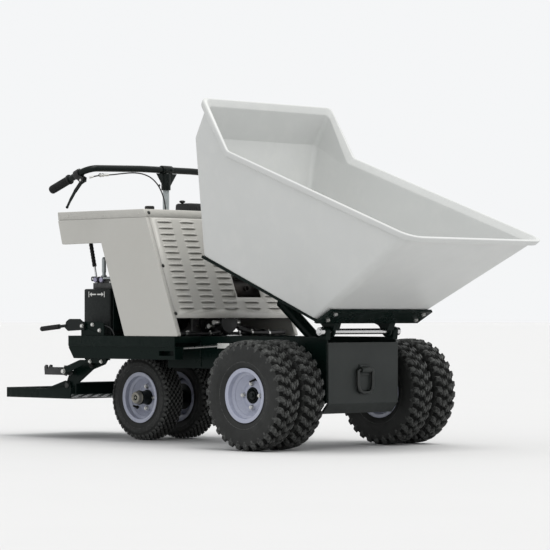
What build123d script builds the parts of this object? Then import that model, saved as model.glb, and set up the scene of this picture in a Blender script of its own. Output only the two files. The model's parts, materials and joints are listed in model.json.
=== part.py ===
"""Power wheelbarrow: hydraulic dump tub on a four-wheel, walk-behind or ride-on carrier.

Frame of the model: +X forward (the end that the tub tips over), +Y to the left, +Z up,
millimetres. The origin is on the ground under the centre of the machine's box.
The tub is drawn partly raised; every other joint is at its resting place.
"""

import math
import os

from build123d import *

os.makedirs("parts", exist_ok=True)

# ---------------------------------------------------------------- driving dimensions
FRONT_X = 514.0          # front axle
WHEELBASE = 1062.0
REAR_X = FRONT_X - WHEELBASE
FRONT_TYRE_R = 233.0
REAR_TYRE_R = 194.0
FRONT_TRACK = 339.0      # inner dual wheel, centre plane from the middle
DUAL_PITCH = 150.0
REAR_TRACK = 115.0
FRONT_TYRE_HALF = 59.0
REAR_TYRE_HALF = 53.0
RIM_BEAD_R = 102.0       # eight inch rim
RIM_FLANGE_R = 115.5
RIM_HALF = 50.0
RIM_HOLE_R = 34.5
LUG_CIRCLE_R = 50.0
LUG_COUNT = 4

DECK_REAR = -797.0
DECK_FRONT = -86.0
DECK_HALF = 377.0
DECK_TOP = 476.0
DECK_RIDGE = 429.0
DECK_BOTTOM = 373.0
SHEET = 6.0

FRAME_REAR = -300.0
FRAME_FRONT = 684.0
FRAME_HALF = 217.0
FRAME_SHEET = 8.0
FRAME_BOTTOM = 334.0
AXLE_BOX_REAR = 430.0
AXLE_BOX_BOTTOM = 180.0
NOSE_TOP = 464.0
NOSE_START = 640.0
BUMPER_THICK = 10.0
BUMPER_BOTTOM = 194.0

PIVOT_X = 667.6          # tub pivot shaft
PIVOT_Z = 500.0
PIVOT_R = 12.5
RUNNING_GAP = 0.05
TUB_LIFT = 21.9          # degrees that the tub stands raised in the model
TUB_WALL = 10.0

HOOD_HALF = 377.0
HOOD_TOP = 1040.0
HOOD_LID_DROP = 36.0
HOOD_SHEET = 3.0
HOOD_REAR = -875.0
HOOD_NOSE = -286.0       # top front edge
HOOD_FOOT = -66.0        # front edge at the deck
HOOD_PANEL_BOTTOM = 557.0

CYLINDER_EYE = (101.0, 711.0)     # on the tub frame, X and Z
CYLINDER_BASE = (551.0, 350.0)    # in the main frame, X and Z
ROD_R = 14.0
BARREL_R = 28.0
BORE_R = 22.0

BAR_Z = 1235.0           # handlebar height at its middle
BAR_END_Z = 1226.0
BAR_HALF = 472.0
BAR_R = 15.0
PLATFORM_HALF = 306.0
PLATFORM_HINGE = (-887.0, 247.0)
PLATFORM_REAR = -1323.0


# ---------------------------------------------------------------- helpers
def side_plane(y):
    """Plane across the machine at y: first axis forward, second up, extruding to the right."""
    return Plane(origin=(0, y, 0), x_dir=(1, 0, 0), z_dir=(0, -1, 0))


def prism(plane, outline, depth, mode=Mode.ADD):
    """Add a straight-edged prism to the part being built."""
    with BuildSketch(plane) as face:
        with BuildLine():
            Polyline(*outline, close=True)
        make_face()
    extrude(face.sketch, amount=depth, mode=mode)


def block(x_span, y_span, z_span, mode=Mode.ADD):
    """Add a box given by its spans along each axis."""
    with BuildSketch(Plane.XY.offset(z_span[0])) as face:
        with Locations(((x_span[0] + x_span[1]) / 2, (y_span[0] + y_span[1]) / 2)):
            Rectangle(x_span[1] - x_span[0], y_span[1] - y_span[0])
    extrude(face.sketch, amount=z_span[1] - z_span[0], mode=mode)


def bar(start, end, radius, mode=Mode.ADD):
    """Add a round bar between two points."""
    axis = Vector(*end) - Vector(*start)
    with BuildSketch(Plane(origin=start, z_dir=axis)) as face:
        Circle(radius)
    extrude(face.sketch, amount=axis.length, mode=mode)


def hexagon(start, end, radius, mode=Mode.ADD):
    """Add a hexagonal head or nut between two points."""
    axis = Vector(*end) - Vector(*start)
    with BuildSketch(Plane(origin=start, z_dir=axis)) as face:
        RegularPolygon(radius, 6)
    extrude(face.sketch, amount=axis.length, mode=mode)


def turned(centre, profile, mode=Mode.ADD):
    """Spin a profile of (distance along +Y, radius) points about the cross axis at centre."""
    with BuildSketch(Plane(origin=centre, x_dir=(0, 1, 0), z_dir=(1, 0, 0))) as face:
        with BuildLine():
            Polyline(*profile, close=True)
        make_face()
    revolve(face.sketch, axis=Axis(centre, (0, 1, 0)), mode=mode)


def tube_along(name, points, radii, outer, inner=0.0):
    """Sweep a round tube along straight runs joined by tangent arcs, and print its bends."""
    with BuildLine() as route:
        FilletPolyline(*points, radius=radii)
    path = route.wire()
    with BuildSketch(Plane(origin=path @ 0, z_dir=path % 0)) as face:
        Circle(outer)
        if inner:
            Circle(inner, mode=Mode.SUBTRACT)
    sweep(face.sketch, path=path)
    volume = face.sketch.area * path.length
    print(name, "length", round(path.length), "volume", round(volume), "radii", [round(r) for r in radii])


def arc_radii(points, share=0.45):
    """Largest tangent arc at each corner of a route, from its shorter run and its turn."""
    radii = []
    for before, corner, after in zip(points, points[1:], points[2:]):
        run_in = Vector(*corner) - Vector(*before)
        run_out = Vector(*after) - Vector(*corner)
        half_turn = math.radians(run_in.get_angle(run_out)) / 2
        radii.append(share * min(run_in.length, run_out.length) / math.tan(half_turn))
    return radii


def save(builder, label):
    """Label a finished part and write its file."""
    builder.part.label = label
    export_step(builder.part, f"parts/{label}.step")


# ---------------------------------------------------------------- wheels
def rim(centres, side, label):
    """Pressed steel rims with a dished disc; side is +1 on the left and -1 on the right."""
    half = [(17, 88), (24, RIM_BEAD_R - 1), (44, RIM_BEAD_R), (46, RIM_FLANGE_R), (RIM_HALF, RIM_FLANGE_R),
            (RIM_HALF, RIM_FLANGE_R - 3.5), (48.5, 99), (26, 97.5), (19, 85)]
    drum = half + [(-t, r) for t, r in reversed(half)]
    disc = [(14, 86), (9, 86), (-5, 62), (-5, RIM_HOLE_R), (0, RIM_HOLE_R), (0, 60)]
    with BuildPart() as wheel:
        for centre in centres:
            turned(centre, [(side * t, r) for t, r in drum])
            turned(centre, [(side * t, r) for t, r in disc])
            for turn in range(LUG_COUNT):
                angle = math.radians(90 * turn)
                x = centre[0] + LUG_CIRCLE_R * math.cos(angle)
                z = centre[2] + LUG_CIRCLE_R * math.sin(angle)
                bar((x, centre[1] - 8, z), (x, centre[1] + 8, z), 7.0, Mode.SUBTRACT)
    save(wheel, label)


def tyre(centres, outer_r, half, label):
    """Hollow tubeless tyres whose beads sit just clear of the rim flanges."""
    bulge = 116 + 0.42 * (outer_r - 116)
    half_profile = [(43.2, 102.3), (45.0, 116.5), (half, bulge), (half - 1, outer_r - 24),
                    (half - 7, outer_r - 6), (half - 16, outer_r)]
    inner_half = [(34.0, 102.3), (35.5, 116.0), (half - 9, bulge), (half - 10, outer_r - 30),
                  (half - 20, outer_r - 17)]
    outline = half_profile + [(-t, r) for t, r in reversed(half_profile)]
    cavity = [(-t, r) for t, r in inner_half] + list(reversed(inner_half))
    with BuildPart() as casing:
        for centre in centres:
            turned(centre, outline + cavity)
    save(casing, label)


def lug_bolts(centre, side):
    """Add four studs with hexagon nuts and washers against the disc's outer face."""
    for turn in range(LUG_COUNT):
        angle = math.radians(90 * turn)
        x = centre[0] + LUG_CIRCLE_R * math.cos(angle)
        z = centre[2] + LUG_CIRCLE_R * math.sin(angle)
        face = centre[1]
        bar((x, face - side * 5.1, z), (x, face + side * 16, z), 5.0)
        bar((x, face, z), (x, face + side * 2, z), 10.0)
        hexagon((x, face + side * 2, z), (x, face + side * 11, z), 9.0)


def front_hub(side, label):
    """Motor shaft, inner flange and the spacer drum that carries the outer dual wheel."""
    inner = FRONT_TRACK
    outer = FRONT_TRACK + DUAL_PITCH
    profile = [(150, 0), (150, 17.5), (223, 17.5), (223, 24), (inner - 13, 26), (inner - 13, 60),
               (inner - 5.1, 60), (inner - 5.1, 32), (inner + 0.1, 32), (inner + 0.1, 60),
               (inner + 8, 60), (inner + 8, 44), (outer - 13, 44), (outer - 13, 60),
               (outer - 5.1, 60), (outer - 5.1, 32), (outer + 10, 30), (outer + 10, 14),
               (outer + 22, 14), (outer + 22, 0)]
    with BuildPart() as hub:
        turned((FRONT_X, 0, FRONT_TYRE_R), [(side * t, r) for t, r in profile])
        lug_bolts((FRONT_X, side * outer, FRONT_TYRE_R), side)
    save(hub, label)


def rear_hub(side, label):
    """Long greased hub with its dust cap, turning on the dead rear axle."""
    profile = [(REAR_TRACK - 25, 12.5 + RUNNING_GAP), (REAR_TRACK - 25, 33), (REAR_TRACK - 13, 33),
               (REAR_TRACK - 13, 60), (REAR_TRACK - 5.1, 60), (REAR_TRACK - 5.1, 33.5),
               (REAR_TRACK + 70, 33.5), (REAR_TRACK + 72, 29), (REAR_TRACK + 84, 27),
               (REAR_TRACK + 84, 0), (REAR_TRACK + 78, 0), (REAR_TRACK + 78, 12.5 + RUNNING_GAP)]
    with BuildPart() as hub:
        turned((REAR_X, 0, REAR_TYRE_R), [(side * t, r) for t, r in profile])
        lug_bolts((REAR_X, side * REAR_TRACK, REAR_TYRE_R), side)
    save(hub, label)


for side, word in ((-1, "right"), (1, "left")):
    duals = [(FRONT_X, side * FRONT_TRACK, FRONT_TYRE_R),
             (FRONT_X, side * (FRONT_TRACK + DUAL_PITCH), FRONT_TYRE_R)]
    rim(duals, side, f"front_rims_{word}")
    tyre(duals, FRONT_TYRE_R, FRONT_TYRE_HALF, f"front_tyres_{word}")
    front_hub(side, f"front_hub_{word}")
    single = [(REAR_X, side * REAR_TRACK, REAR_TYRE_R)]
    rim(single, side, f"rear_rim_{word}")
    tyre(single, REAR_TYRE_R, REAR_TYRE_HALF, f"rear_tyre_{word}")
    rear_hub(side, f"rear_hub_{word}")


# ---------------------------------------------------------------- chassis
KING_R = 20.0            # kingpin

with BuildPart() as rear_deck:
    block((DECK_REAR, DECK_FRONT), (-DECK_HALF, DECK_HALF), (DECK_TOP - SHEET, DECK_TOP))
    for y in (-DECK_HALF, DECK_HALF - SHEET):
        block((DECK_REAR, DECK_FRONT), (y, y + SHEET), (DECK_RIDGE, DECK_TOP))
    block((DECK_REAR, DECK_REAR + SHEET), (-DECK_HALF, DECK_HALF), (DECK_RIDGE, DECK_TOP))
    block((DECK_FRONT - SHEET, DECK_FRONT), (-DECK_HALF, DECK_HALF), (DECK_TOP - 28, DECK_TOP))
    for y in (-DECK_HALF + 3, DECK_HALF - 3 - 50):
        rail = [(DECK_REAR, DECK_RIDGE), (DECK_FRONT, DECK_RIDGE), (DECK_FRONT, DECK_BOTTOM),
                (DECK_REAR + 34, DECK_BOTTOM), (DECK_REAR, DECK_RIDGE - 8)]
        prism(side_plane(y + 50), rail, 50)
    # bearing bridge that carries the kingpin, clear above the steered wheels
    block((REAR_X - 60, REAR_X + 60), (-DECK_HALF + 50, DECK_HALF - 50), (446, DECK_TOP - SHEET))
    bar((REAR_X, 0, 400), (REAR_X, 0, DECK_TOP + 2), KING_R + 8 + RUNNING_GAP, Mode.SUBTRACT)
    for side in (-1, 1):
        block((-189, -95), (side * 360 - 20, side * 360 + 20), (390, 411), Mode.SUBTRACT)
save(rear_deck, "rear_deck")

with BuildPart() as column_bearing:
    bar((REAR_X, 0, 406), (REAR_X, 0, DECK_TOP + 6), KING_R + 8)
    bar((REAR_X, 0, DECK_TOP), (REAR_X, 0, DECK_TOP + 8), 46.0)
    bar((REAR_X, 0, 400), (REAR_X, 0, DECK_TOP + 9), KING_R + RUNNING_GAP, Mode.SUBTRACT)
save(column_bearing, "column_bearing")

side_outline = [(FRAME_REAR, DECK_TOP - SHEET - 0.2), (DECK_FRONT, DECK_TOP - SHEET - 0.2),
                (DECK_FRONT, DECK_TOP), (NOSE_START - 14, DECK_TOP), (NOSE_START, NOSE_TOP),
                (FRAME_FRONT, NOSE_TOP), (FRAME_FRONT, BUMPER_BOTTOM + 8), (640, AXLE_BOX_BOTTOM),
                (AXLE_BOX_REAR, AXLE_BOX_BOTTOM), (AXLE_BOX_REAR - 60, FRAME_BOTTOM),
                (FRAME_REAR, FRAME_BOTTOM)]
MOTOR_NOSE_R = 42.0
inside = FRAME_HALF - FRAME_SHEET

with BuildPart() as main_frame:
    for y in (FRAME_HALF, -inside):
        prism(side_plane(y), side_outline, FRAME_SHEET)
    block((DECK_FRONT - SHEET, DECK_FRONT), (-FRAME_HALF, FRAME_HALF), (DECK_TOP - 28, DECK_TOP),
          Mode.SUBTRACT)
    for x in (FRAME_REAR, -14.0, 620.0):
        top = 440 if x < 600 else NOSE_TOP - 20
        block((x, x + FRAME_SHEET), (-inside, inside), (FRAME_BOTTOM, top))
    # lower flanges turned inwards along both side plates
    for y in (-inside, inside - 40):
        block((FRAME_REAR, AXLE_BOX_REAR - 60), (y, y + 40), (FRAME_BOTTOM, FRAME_BOTTOM + 6))
    # cradle ears on each side of the dump cylinder's lower end
    for y in (52.0, -44.0):
        ear = [(505, 300), (620.5, 300), (620.5, 400), (505, 400)]
        prism(side_plane(y), ear, 8)
    bar((FRONT_X, -FRAME_HALF - 1, FRONT_TYRE_R), (FRONT_X, FRAME_HALF + 1, FRONT_TYRE_R),
        MOTOR_NOSE_R + 0.4, Mode.SUBTRACT)
save(main_frame, "main_frame")

PLATE_FRONT = FRAME_FRONT + BUMPER_THICK
RING_X = PLATE_FRONT + 10.5
RING_Z = 336.0
RING_WIRE_R = 7.5
LIP_BACK = 37.0
LIP_DROP = 43.0
bumper_outline = [(FRAME_FRONT, NOSE_TOP - 11), (FRAME_FRONT + BUMPER_THICK, NOSE_TOP - 11),
                  (FRAME_FRONT + BUMPER_THICK, BUMPER_BOTTOM),
                  (FRAME_FRONT + BUMPER_THICK - LIP_BACK, BUMPER_BOTTOM - LIP_DROP),
                  (FRAME_FRONT + BUMPER_THICK - LIP_BACK - 9, BUMPER_BOTTOM - LIP_DROP + 7),
                  (FRAME_FRONT, BUMPER_BOTTOM + 4)]
with BuildPart() as bumper_plate:
    prism(side_plane(FRAME_HALF), bumper_outline, 2 * FRAME_HALF)
    # half-tube strap welded on for the tow ring
    with BuildSketch(side_plane(29)) as strap_face:
        with Locations((RING_X, RING_Z)):
            Circle(RING_WIRE_R + 6)
            Circle(RING_WIRE_R + 1, mode=Mode.SUBTRACT)
        with Locations((PLATE_FRONT - 15, RING_Z)):
            Rectangle(30, 40, mode=Mode.SUBTRACT)
    extrude(strap_face.sketch, amount=58)
    for z in (RING_Z + 7, RING_Z - 23):
        block((PLATE_FRONT, RING_X - 5.5), (-29, 29), (z, z + 16))
    bar((RING_X, -30, RING_Z), (RING_X, 30, RING_Z), RING_WIRE_R + 1, Mode.SUBTRACT)
save(bumper_plate, "bumper_plate")

ring_half = 45.0
ring_points = [(RING_X, ring_half, RING_Z), (RING_X, ring_half, RING_Z - 97),
               (RING_X, -ring_half, RING_Z - 97), (RING_X, -ring_half, RING_Z)]
with BuildPart() as tow_ring:
    with BuildLine() as ring_route:
        FilletPolyline(*ring_points, radius=[9, 36, 36, 9], close=True)
    with BuildSketch(Plane(origin=ring_route.line @ 0, z_dir=ring_route.line % 0)):
        Circle(RING_WIRE_R)
    sweep()
save(tow_ring, "tow_ring")

with BuildPart() as drive_motors:
    for side in (-1, 1):
        profile = [(58, 0), (58, 46), (96, 46), (96, 50), (178, 50), (178, 64), (208.8, 64),
                   (208.8, MOTOR_NOSE_R), (221, MOTOR_NOSE_R), (221, 17.5 + RUNNING_GAP),
                   (148, 17.5 + RUNNING_GAP), (148, 0)]
        turned((FRONT_X, 0, FRONT_TYRE_R), [(side * t, r) for t, r in profile])
save(drive_motors, "drive_motors")

with BuildPart() as pivot_bearings:
    for side in (-1, 1):
        y = side * 210
        prism(side_plane(y + 15), [(PIVOT_X - 27, NOSE_TOP), (PIVOT_X + 16, NOSE_TOP),
                                   (PIVOT_X + 21, PIVOT_Z), (PIVOT_X - 21, PIVOT_Z)], 30)
        bar((PIVOT_X, y - 15, PIVOT_Z), (PIVOT_X, y + 15, PIVOT_Z), 21.0)
    bar((PIVOT_X, -240, PIVOT_Z), (PIVOT_X, 240, PIVOT_Z), PIVOT_R + RUNNING_GAP, Mode.SUBTRACT)
save(pivot_bearings, "pivot_bearings")

with BuildPart() as belly_manifold:
    block((150, 290), (-70, 70), (FRAME_BOTTOM - 62, FRAME_BOTTOM - 6))
    for y in (-inside, inside - 46):
        block((205, 235), (y, y + 46), (FRAME_BOTTOM - 6, FRAME_BOTTOM))
    block((205, 235), (-inside, inside), (FRAME_BOTTOM - 12, FRAME_BOTTOM - 6))
    for y in (-40.0, 40.0):
        bar((290, y, FRAME_BOTTOM - 34), (312, y, FRAME_BOTTOM - 34), 13.0)
save(belly_manifold, "belly_manifold")

motor_hose_routes = []
for side in (-1, 1):
    motor_hose_routes.append([(312, side * 40, 300), (345, side * 40, 300), (385, side * 58, 285),
                              (420, side * 88, 266), (452, side * 114, 250)])

# ---------------------------------------------------------------- tub and its frame
def tub_plane(y=0.0):
    """Side plane in the tub's own level axes, origin on the pivot, at its raised place."""
    tilt = math.radians(TUB_LIFT)
    return Plane(origin=(PIVOT_X, y, PIVOT_Z), x_dir=(math.cos(tilt), 0, -math.sin(tilt)),
                 z_dir=(0, -1, 0))


def tub_level(z):
    """Plane parallel to the tub's bottom at height z over the pivot: X forward, Y left."""
    tilt = math.radians(TUB_LIFT)
    up = Vector(math.sin(tilt), 0, math.cos(tilt))
    origin = Vector(PIVOT_X, 0, PIVOT_Z) + up * z
    return Plane(origin=origin, x_dir=(math.cos(tilt), 0, -math.sin(tilt)), z_dir=up)


TUB_BOTTOM = 62.0
TUB_RIM = 596.0
TUB_PEAK = 740.0
BACK_FOOT = -733.0
FRONT_FOOT = 22.0


def tub_widths(grow):
    """Loft the plan of the tub from its bottom to its rim, then straight up; grow moves walls out."""
    sections = []
    for z, back, front in ((TUB_BOTTOM - 30, 294, 308), (TUB_RIM, 386, 412), (TUB_PEAK + 30, 387, 413)):
        with BuildSketch(tub_level(z)) as plan:
            with BuildLine():
                Polyline((-960, -back - grow), (540, -front - grow), (540, front + grow),
                         (-960, back + grow), close=True)
            make_face()
        sections.append(plan.sketch)
    return sections


outer_side = [(BACK_FOOT, TUB_BOTTOM), (FRONT_FOOT, TUB_BOTTOM), (477, 605), (-659, 566.5),
              (-872, 727.4), (-901, 551)]
inner_side = [(BACK_FOOT + 6, TUB_BOTTOM + TUB_WALL), (FRONT_FOOT - 8, TUB_BOTTOM + TUB_WALL),
              (464, 605), (508, 760), (-864, 760), (-862, 727.4), (-890.5, 551)]
lip_side = [(494, 606), (-655, 567.5), (-878, 728.5), (-890, 728.5), (-894, 703), (-866, 703),
            (-661, 541), (475, 580)]

with BuildPart() as tub:
    loft(tub_widths(0)[:2], ruled=True)
    loft(tub_widths(0)[1:], ruled=True)
    prism(tub_plane(600), outer_side, 1200, Mode.INTERSECT)
    with BuildPart(mode=Mode.PRIVATE) as lip:
        loft(tub_widths(18)[:2], ruled=True)
        loft(tub_widths(18)[1:], ruled=True)
        with BuildSketch(tub_plane(600)):
            with BuildLine():
                Polyline(*lip_side, close=True)
            make_face()
        extrude(amount=1200, mode=Mode.INTERSECT)
    add(lip.part)
    with BuildPart(mode=Mode.PRIVATE) as hollow:
        loft(tub_widths(-TUB_WALL)[:2], ruled=True)
        loft(tub_widths(-TUB_WALL)[1:], ruled=True)
        with BuildSketch(tub_plane(600)):
            with BuildLine():
                Polyline(*inner_side, close=True)
            make_face()
        extrude(amount=1200, mode=Mode.INTERSECT)
    add(hollow.part, mode=Mode.SUBTRACT)
save(tub, "tub")


def to_level(point):
    """Turn a point of the raised tub (X, Z) into the tub's level axes."""
    tilt = math.radians(TUB_LIFT)
    ahead = point[0] - PIVOT_X
    above = point[1] - PIVOT_Z
    return (ahead * math.cos(tilt) - above * math.sin(tilt),
            ahead * math.sin(tilt) + above * math.cos(tilt))


EYE_PIN_R = 10.0
eye_level = to_level(CYLINDER_EYE)
with BuildPart() as tub_frame:
    with BuildSketch(tub_level(TUB_BOTTOM - 12.2)):
        with Locations(((BACK_FOOT + FRONT_FOOT) / 2, 0)):
            Rectangle(FRONT_FOOT - BACK_FOOT, 606)
            Rectangle(FRONT_FOOT - BACK_FOOT - 80, 526, mode=Mode.SUBTRACT)
    extrude(amount=12)
    for y in (-190.0, 150.0):
        rail = [(BACK_FOOT + 6, 49.8), (FRONT_FOOT, 49.8), (FRONT_FOOT, 12), (BACK_FOOT + 60, 12),
                (BACK_FOOT + 6, 34)]
        prism(tub_plane(y + 40), rail, 40)
    prism(tub_plane(317), [(FRONT_FOOT, 61.8), (FRONT_FOOT + 4.6, 61.8), (88, 136), (98, 128), (34, 50),
                           (FRONT_FOOT, 49.8)], 634)
    prism(tub_plane(150), [(eye_level[0] - 45, 49.8), (eye_level[0] + 45, 49.8),
                           (eye_level[0] + 45, 24), (eye_level[0] - 45, 24)], 300)
    for y in (182.0, -170.0):
        prism(tub_plane(y), [(-70, 14), (FRONT_FOOT, 14), (FRONT_FOOT, 0), (-24, -8)], 12)
        with BuildSketch(tub_plane(y)):
            Circle(25)
        extrude(amount=12)
    for y in (31.0, -23.0):
        prism(tub_plane(y), [(eye_level[0] - 40, 26), (eye_level[0] + 40, 26),
                             (eye_level[0] + 20, eye_level[1]), (eye_level[0] - 20, eye_level[1])], 8)
        with BuildSketch(tub_plane(y)):
            with Locations(eye_level):
                Circle(21)
        extrude(amount=8)
    bar((PIVOT_X, -200, PIVOT_Z), (PIVOT_X, 200, PIVOT_Z), PIVOT_R, Mode.SUBTRACT)
    bar((CYLINDER_EYE[0], -40, CYLINDER_EYE[1]), (CYLINDER_EYE[0], 40, CYLINDER_EYE[1]), EYE_PIN_R,
        Mode.SUBTRACT)
save(tub_frame, "tub_frame")

with BuildPart() as tub_bolts:
    tilt = math.radians(TUB_LIFT)
    slope = math.atan2(128 - 50, 98 - 34) - tilt
    normal = Vector(math.sin(slope), 0, -math.cos(slope))
    for y in (-275.0, 275.0):
        for reach in (0.3, 0.8):
            local = (34 + reach * (98 - 34), 50 + reach * (128 - 50))
            x = PIVOT_X + local[0] * math.cos(tilt) + local[1] * math.sin(tilt)
            z = PIVOT_Z - local[0] * math.sin(tilt) + local[1] * math.cos(tilt)
            seat = Vector(x, y, z)
            bar(tuple(seat), tuple(seat + normal * 2), 11.0)
            hexagon(tuple(seat + normal * 2), tuple(seat + normal * 9), 9.0)
    # pin of the cylinder's rod eye, with its two heads
    bar((CYLINDER_EYE[0], -38, CYLINDER_EYE[1]), (CYLINDER_EYE[0], 38, CYLINDER_EYE[1]), EYE_PIN_R)
    for y in (-38.0, 31.0):
        bar((CYLINDER_EYE[0], y, CYLINDER_EYE[1]), (CYLINDER_EYE[0], y + 7, CYLINDER_EYE[1]), 16.0)
save(tub_bolts, "tub_bolts")

SHAFT_HALF = 250.0
with BuildPart() as pivot_shaft:
    bar((PIVOT_X, -SHAFT_HALF, PIVOT_Z), (PIVOT_X, SHAFT_HALF, PIVOT_Z), PIVOT_R)
    # clamp collars outside the bearings
    for start in (-SHAFT_HALF + 3, 226.0):
        bar((PIVOT_X, start, PIVOT_Z), (PIVOT_X, start + 21, PIVOT_Z), 18.0)
save(pivot_shaft, "pivot_shaft")


# ---------------------------------------------------------------- dump cylinder
def on_cylinder(distance, y=0.0):
    """Point on the cylinder's axis at a distance from its rod eye."""
    run = Vector(CYLINDER_BASE[0] - CYLINDER_EYE[0], 0, CYLINDER_BASE[1] - CYLINDER_EYE[1])
    spot = Vector(CYLINDER_EYE[0], y, CYLINDER_EYE[1]) + run.normalized() * distance
    return (spot.X, spot.Y, spot.Z)


PIN_SPAN = math.dist(CYLINDER_EYE, CYLINDER_BASE)
GLAND_AT = 131.0         # gland face, measured from the rod eye
with BuildPart() as cylinder_rod:
    bar((CYLINDER_EYE[0], -20, CYLINDER_EYE[1]), (CYLINDER_EYE[0], 20, CYLINDER_EYE[1]), 20.0)
    bar(on_cylinder(4), on_cylinder(332), ROD_R)
    bar(on_cylinder(308), on_cylinder(330), BORE_R - 0.1)
    bar((CYLINDER_EYE[0], -21, CYLINDER_EYE[1]), (CYLINDER_EYE[0], 21, CYLINDER_EYE[1]),
        EYE_PIN_R + RUNNING_GAP, Mode.SUBTRACT)
save(cylinder_rod, "cylinder_rod")

with BuildPart() as cylinder_barrel:
    bar(on_cylinder(GLAND_AT), on_cylinder(PIN_SPAN - 24), BARREL_R)
    bar(on_cylinder(GLAND_AT + 26), on_cylinder(PIN_SPAN - 44), BORE_R, Mode.SUBTRACT)
    bar(on_cylinder(GLAND_AT - 1), on_cylinder(GLAND_AT + 27), ROD_R + RUNNING_GAP, Mode.SUBTRACT)
    bar(on_cylinder(PIN_SPAN - 24.5), on_cylinder(PIN_SPAN), 18.0)
    bar((CYLINDER_BASE[0], -20, CYLINDER_BASE[1]), (CYLINDER_BASE[0], 20, CYLINDER_BASE[1]), 20.0)
    bar((CYLINDER_BASE[0], -40, CYLINDER_BASE[1]), (CYLINDER_BASE[0], 40, CYLINDER_BASE[1]), 10.0)
    for distance in (GLAND_AT + 42, PIN_SPAN - 60):
        port = Vector(*on_cylinder(distance))
        bar(tuple(port + Vector(0, 24, 0)), tuple(port + Vector(0, 42, 0)), 9.0)
save(cylinder_barrel, "cylinder_barrel")


# ---------------------------------------------------------------- hood
LEAN = (HOOD_FOOT - HOOD_NOSE) / (HOOD_TOP - 480.0)
LID_BOTTOM = HOOD_TOP - HOOD_LID_DROP


def nose_x(z):
    """X of the hood's leaning front face at height z."""
    return HOOD_FOOT - (z - 480.0) * LEAN


COLUMN_HOLE_R = 42.0
lid_outline = [(HOOD_REAR, HOOD_TOP), (HOOD_NOSE, HOOD_TOP), (nose_x(LID_BOTTOM), LID_BOTTOM),
               (HOOD_REAR + 5, LID_BOTTOM)]
lid_inside = [(HOOD_REAR + 3, HOOD_TOP - 3), (HOOD_NOSE - 3, HOOD_TOP - 3),
              (nose_x(LID_BOTTOM) - 3.4, LID_BOTTOM - 1), (HOOD_REAR + 8, LID_BOTTOM - 1)]
CLEANER_SPOT = (-388.0, 0.0)
CAP_SPOT = (-441.0, -200.0)
with BuildPart() as hood_lid:
    prism(side_plane(HOOD_HALF), lid_outline, 2 * HOOD_HALF)
    prism(side_plane(HOOD_HALF - 3), lid_inside, 2 * HOOD_HALF - 6, Mode.SUBTRACT)
    with BuildSketch(Plane.XY.offset(HOOD_TOP - 4)):
        with Locations((REAR_X, 0)):
            Circle(COLUMN_HOLE_R)
        with Locations(CAP_SPOT):
            Circle(26)
        with Locations(CLEANER_SPOT):
            Rectangle(112, 112)
    extrude(amount=5, mode=Mode.SUBTRACT)
save(hood_lid, "hood_lid")

PANEL_GAP = 0.5
side_panel = [(HOOD_REAR + 5, LID_BOTTOM - PANEL_GAP), (nose_x(LID_BOTTOM), LID_BOTTOM - PANEL_GAP),
              (nose_x(DECK_TOP), DECK_TOP), (-415, DECK_TOP), (-572, 895), (-840, 892)]
with BuildPart() as hood_sides:
    for face_y, hollow_y in ((HOOD_HALF, HOOD_HALF - 3), (-HOOD_HALF + 22, -HOOD_HALF + 22)):
        prism(side_plane(face_y), side_panel, 22)
        with BuildSketch(side_plane(hollow_y)) as pan:
            with BuildLine():
                Polyline(*side_panel, close=True)
            make_face()
            offset(amount=-HOOD_SHEET, kind=Kind.INTERSECTION, mode=Mode.REPLACE)
        extrude(pan.sketch, amount=19, mode=Mode.SUBTRACT)
save(hood_sides, "hood_sides")

slope_length = math.hypot(HOOD_FOOT - HOOD_NOSE, HOOD_TOP - 480.0)
slope_up = Vector((HOOD_NOSE - HOOD_FOOT) / slope_length, 0, (HOOD_TOP - 480.0) / slope_length)
nose_plane = Plane(origin=(HOOD_FOOT, 0, 480), x_dir=(0, 1, 0), z_dir=Vector(slope_up.Z, 0, -slope_up.X))
PANEL_FOOT = (HOOD_PANEL_BOTTOM - 480) / slope_up.Z
PANEL_HEAD = (LID_BOTTOM - 1 - 480) / slope_up.Z
LOUVRE_LENGTH = 95.0
LOUVRE_COLUMNS = 5
LOUVRE_ROWS = 15
LOUVRE_PITCH = (137.0, 29.4)
LOUVRE_FIRST = 134.0
WINDOW = (52.0, 205.0, 182.0, 292.0)      # left, right, foot and head on the leaning face
with BuildPart() as hood_front:
    with BuildSketch(nose_plane):
        with Locations((0, (PANEL_FOOT + PANEL_HEAD) / 2)):
            Rectangle(2 * (HOOD_HALF - 22.5), PANEL_HEAD - PANEL_FOOT)
        for column in range(LOUVRE_COLUMNS):
            for row in range(LOUVRE_ROWS):
                y = (column - 2) * LOUVRE_PITCH[0]
                v = LOUVRE_FIRST + row * LOUVRE_PITCH[1]
                in_window = WINDOW[0] < y < WINDOW[1] and WINDOW[2] - 14 < v < WINDOW[3] + 14
                if not in_window:
                    with Locations((y, v)):
                        Rectangle(LOUVRE_LENGTH, 8, mode=Mode.SUBTRACT)
        with Locations(((WINDOW[0] + WINDOW[1]) / 2, (WINDOW[2] + WINDOW[3]) / 2)):
            Rectangle(WINDOW[1] - WINDOW[0], WINDOW[3] - WINDOW[2], mode=Mode.SUBTRACT)
    extrude(amount=-HOOD_SHEET)
save(hood_front, "hood_front")

with BuildPart() as hood_bulkhead:
    block((-515, -512), (-354, 354), (500, LID_BOTTOM - 4))
    bar((-516, 250, 560), (-511, 250, 560), 30.0, Mode.SUBTRACT)
save(hood_bulkhead, "hood_bulkhead")

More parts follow.
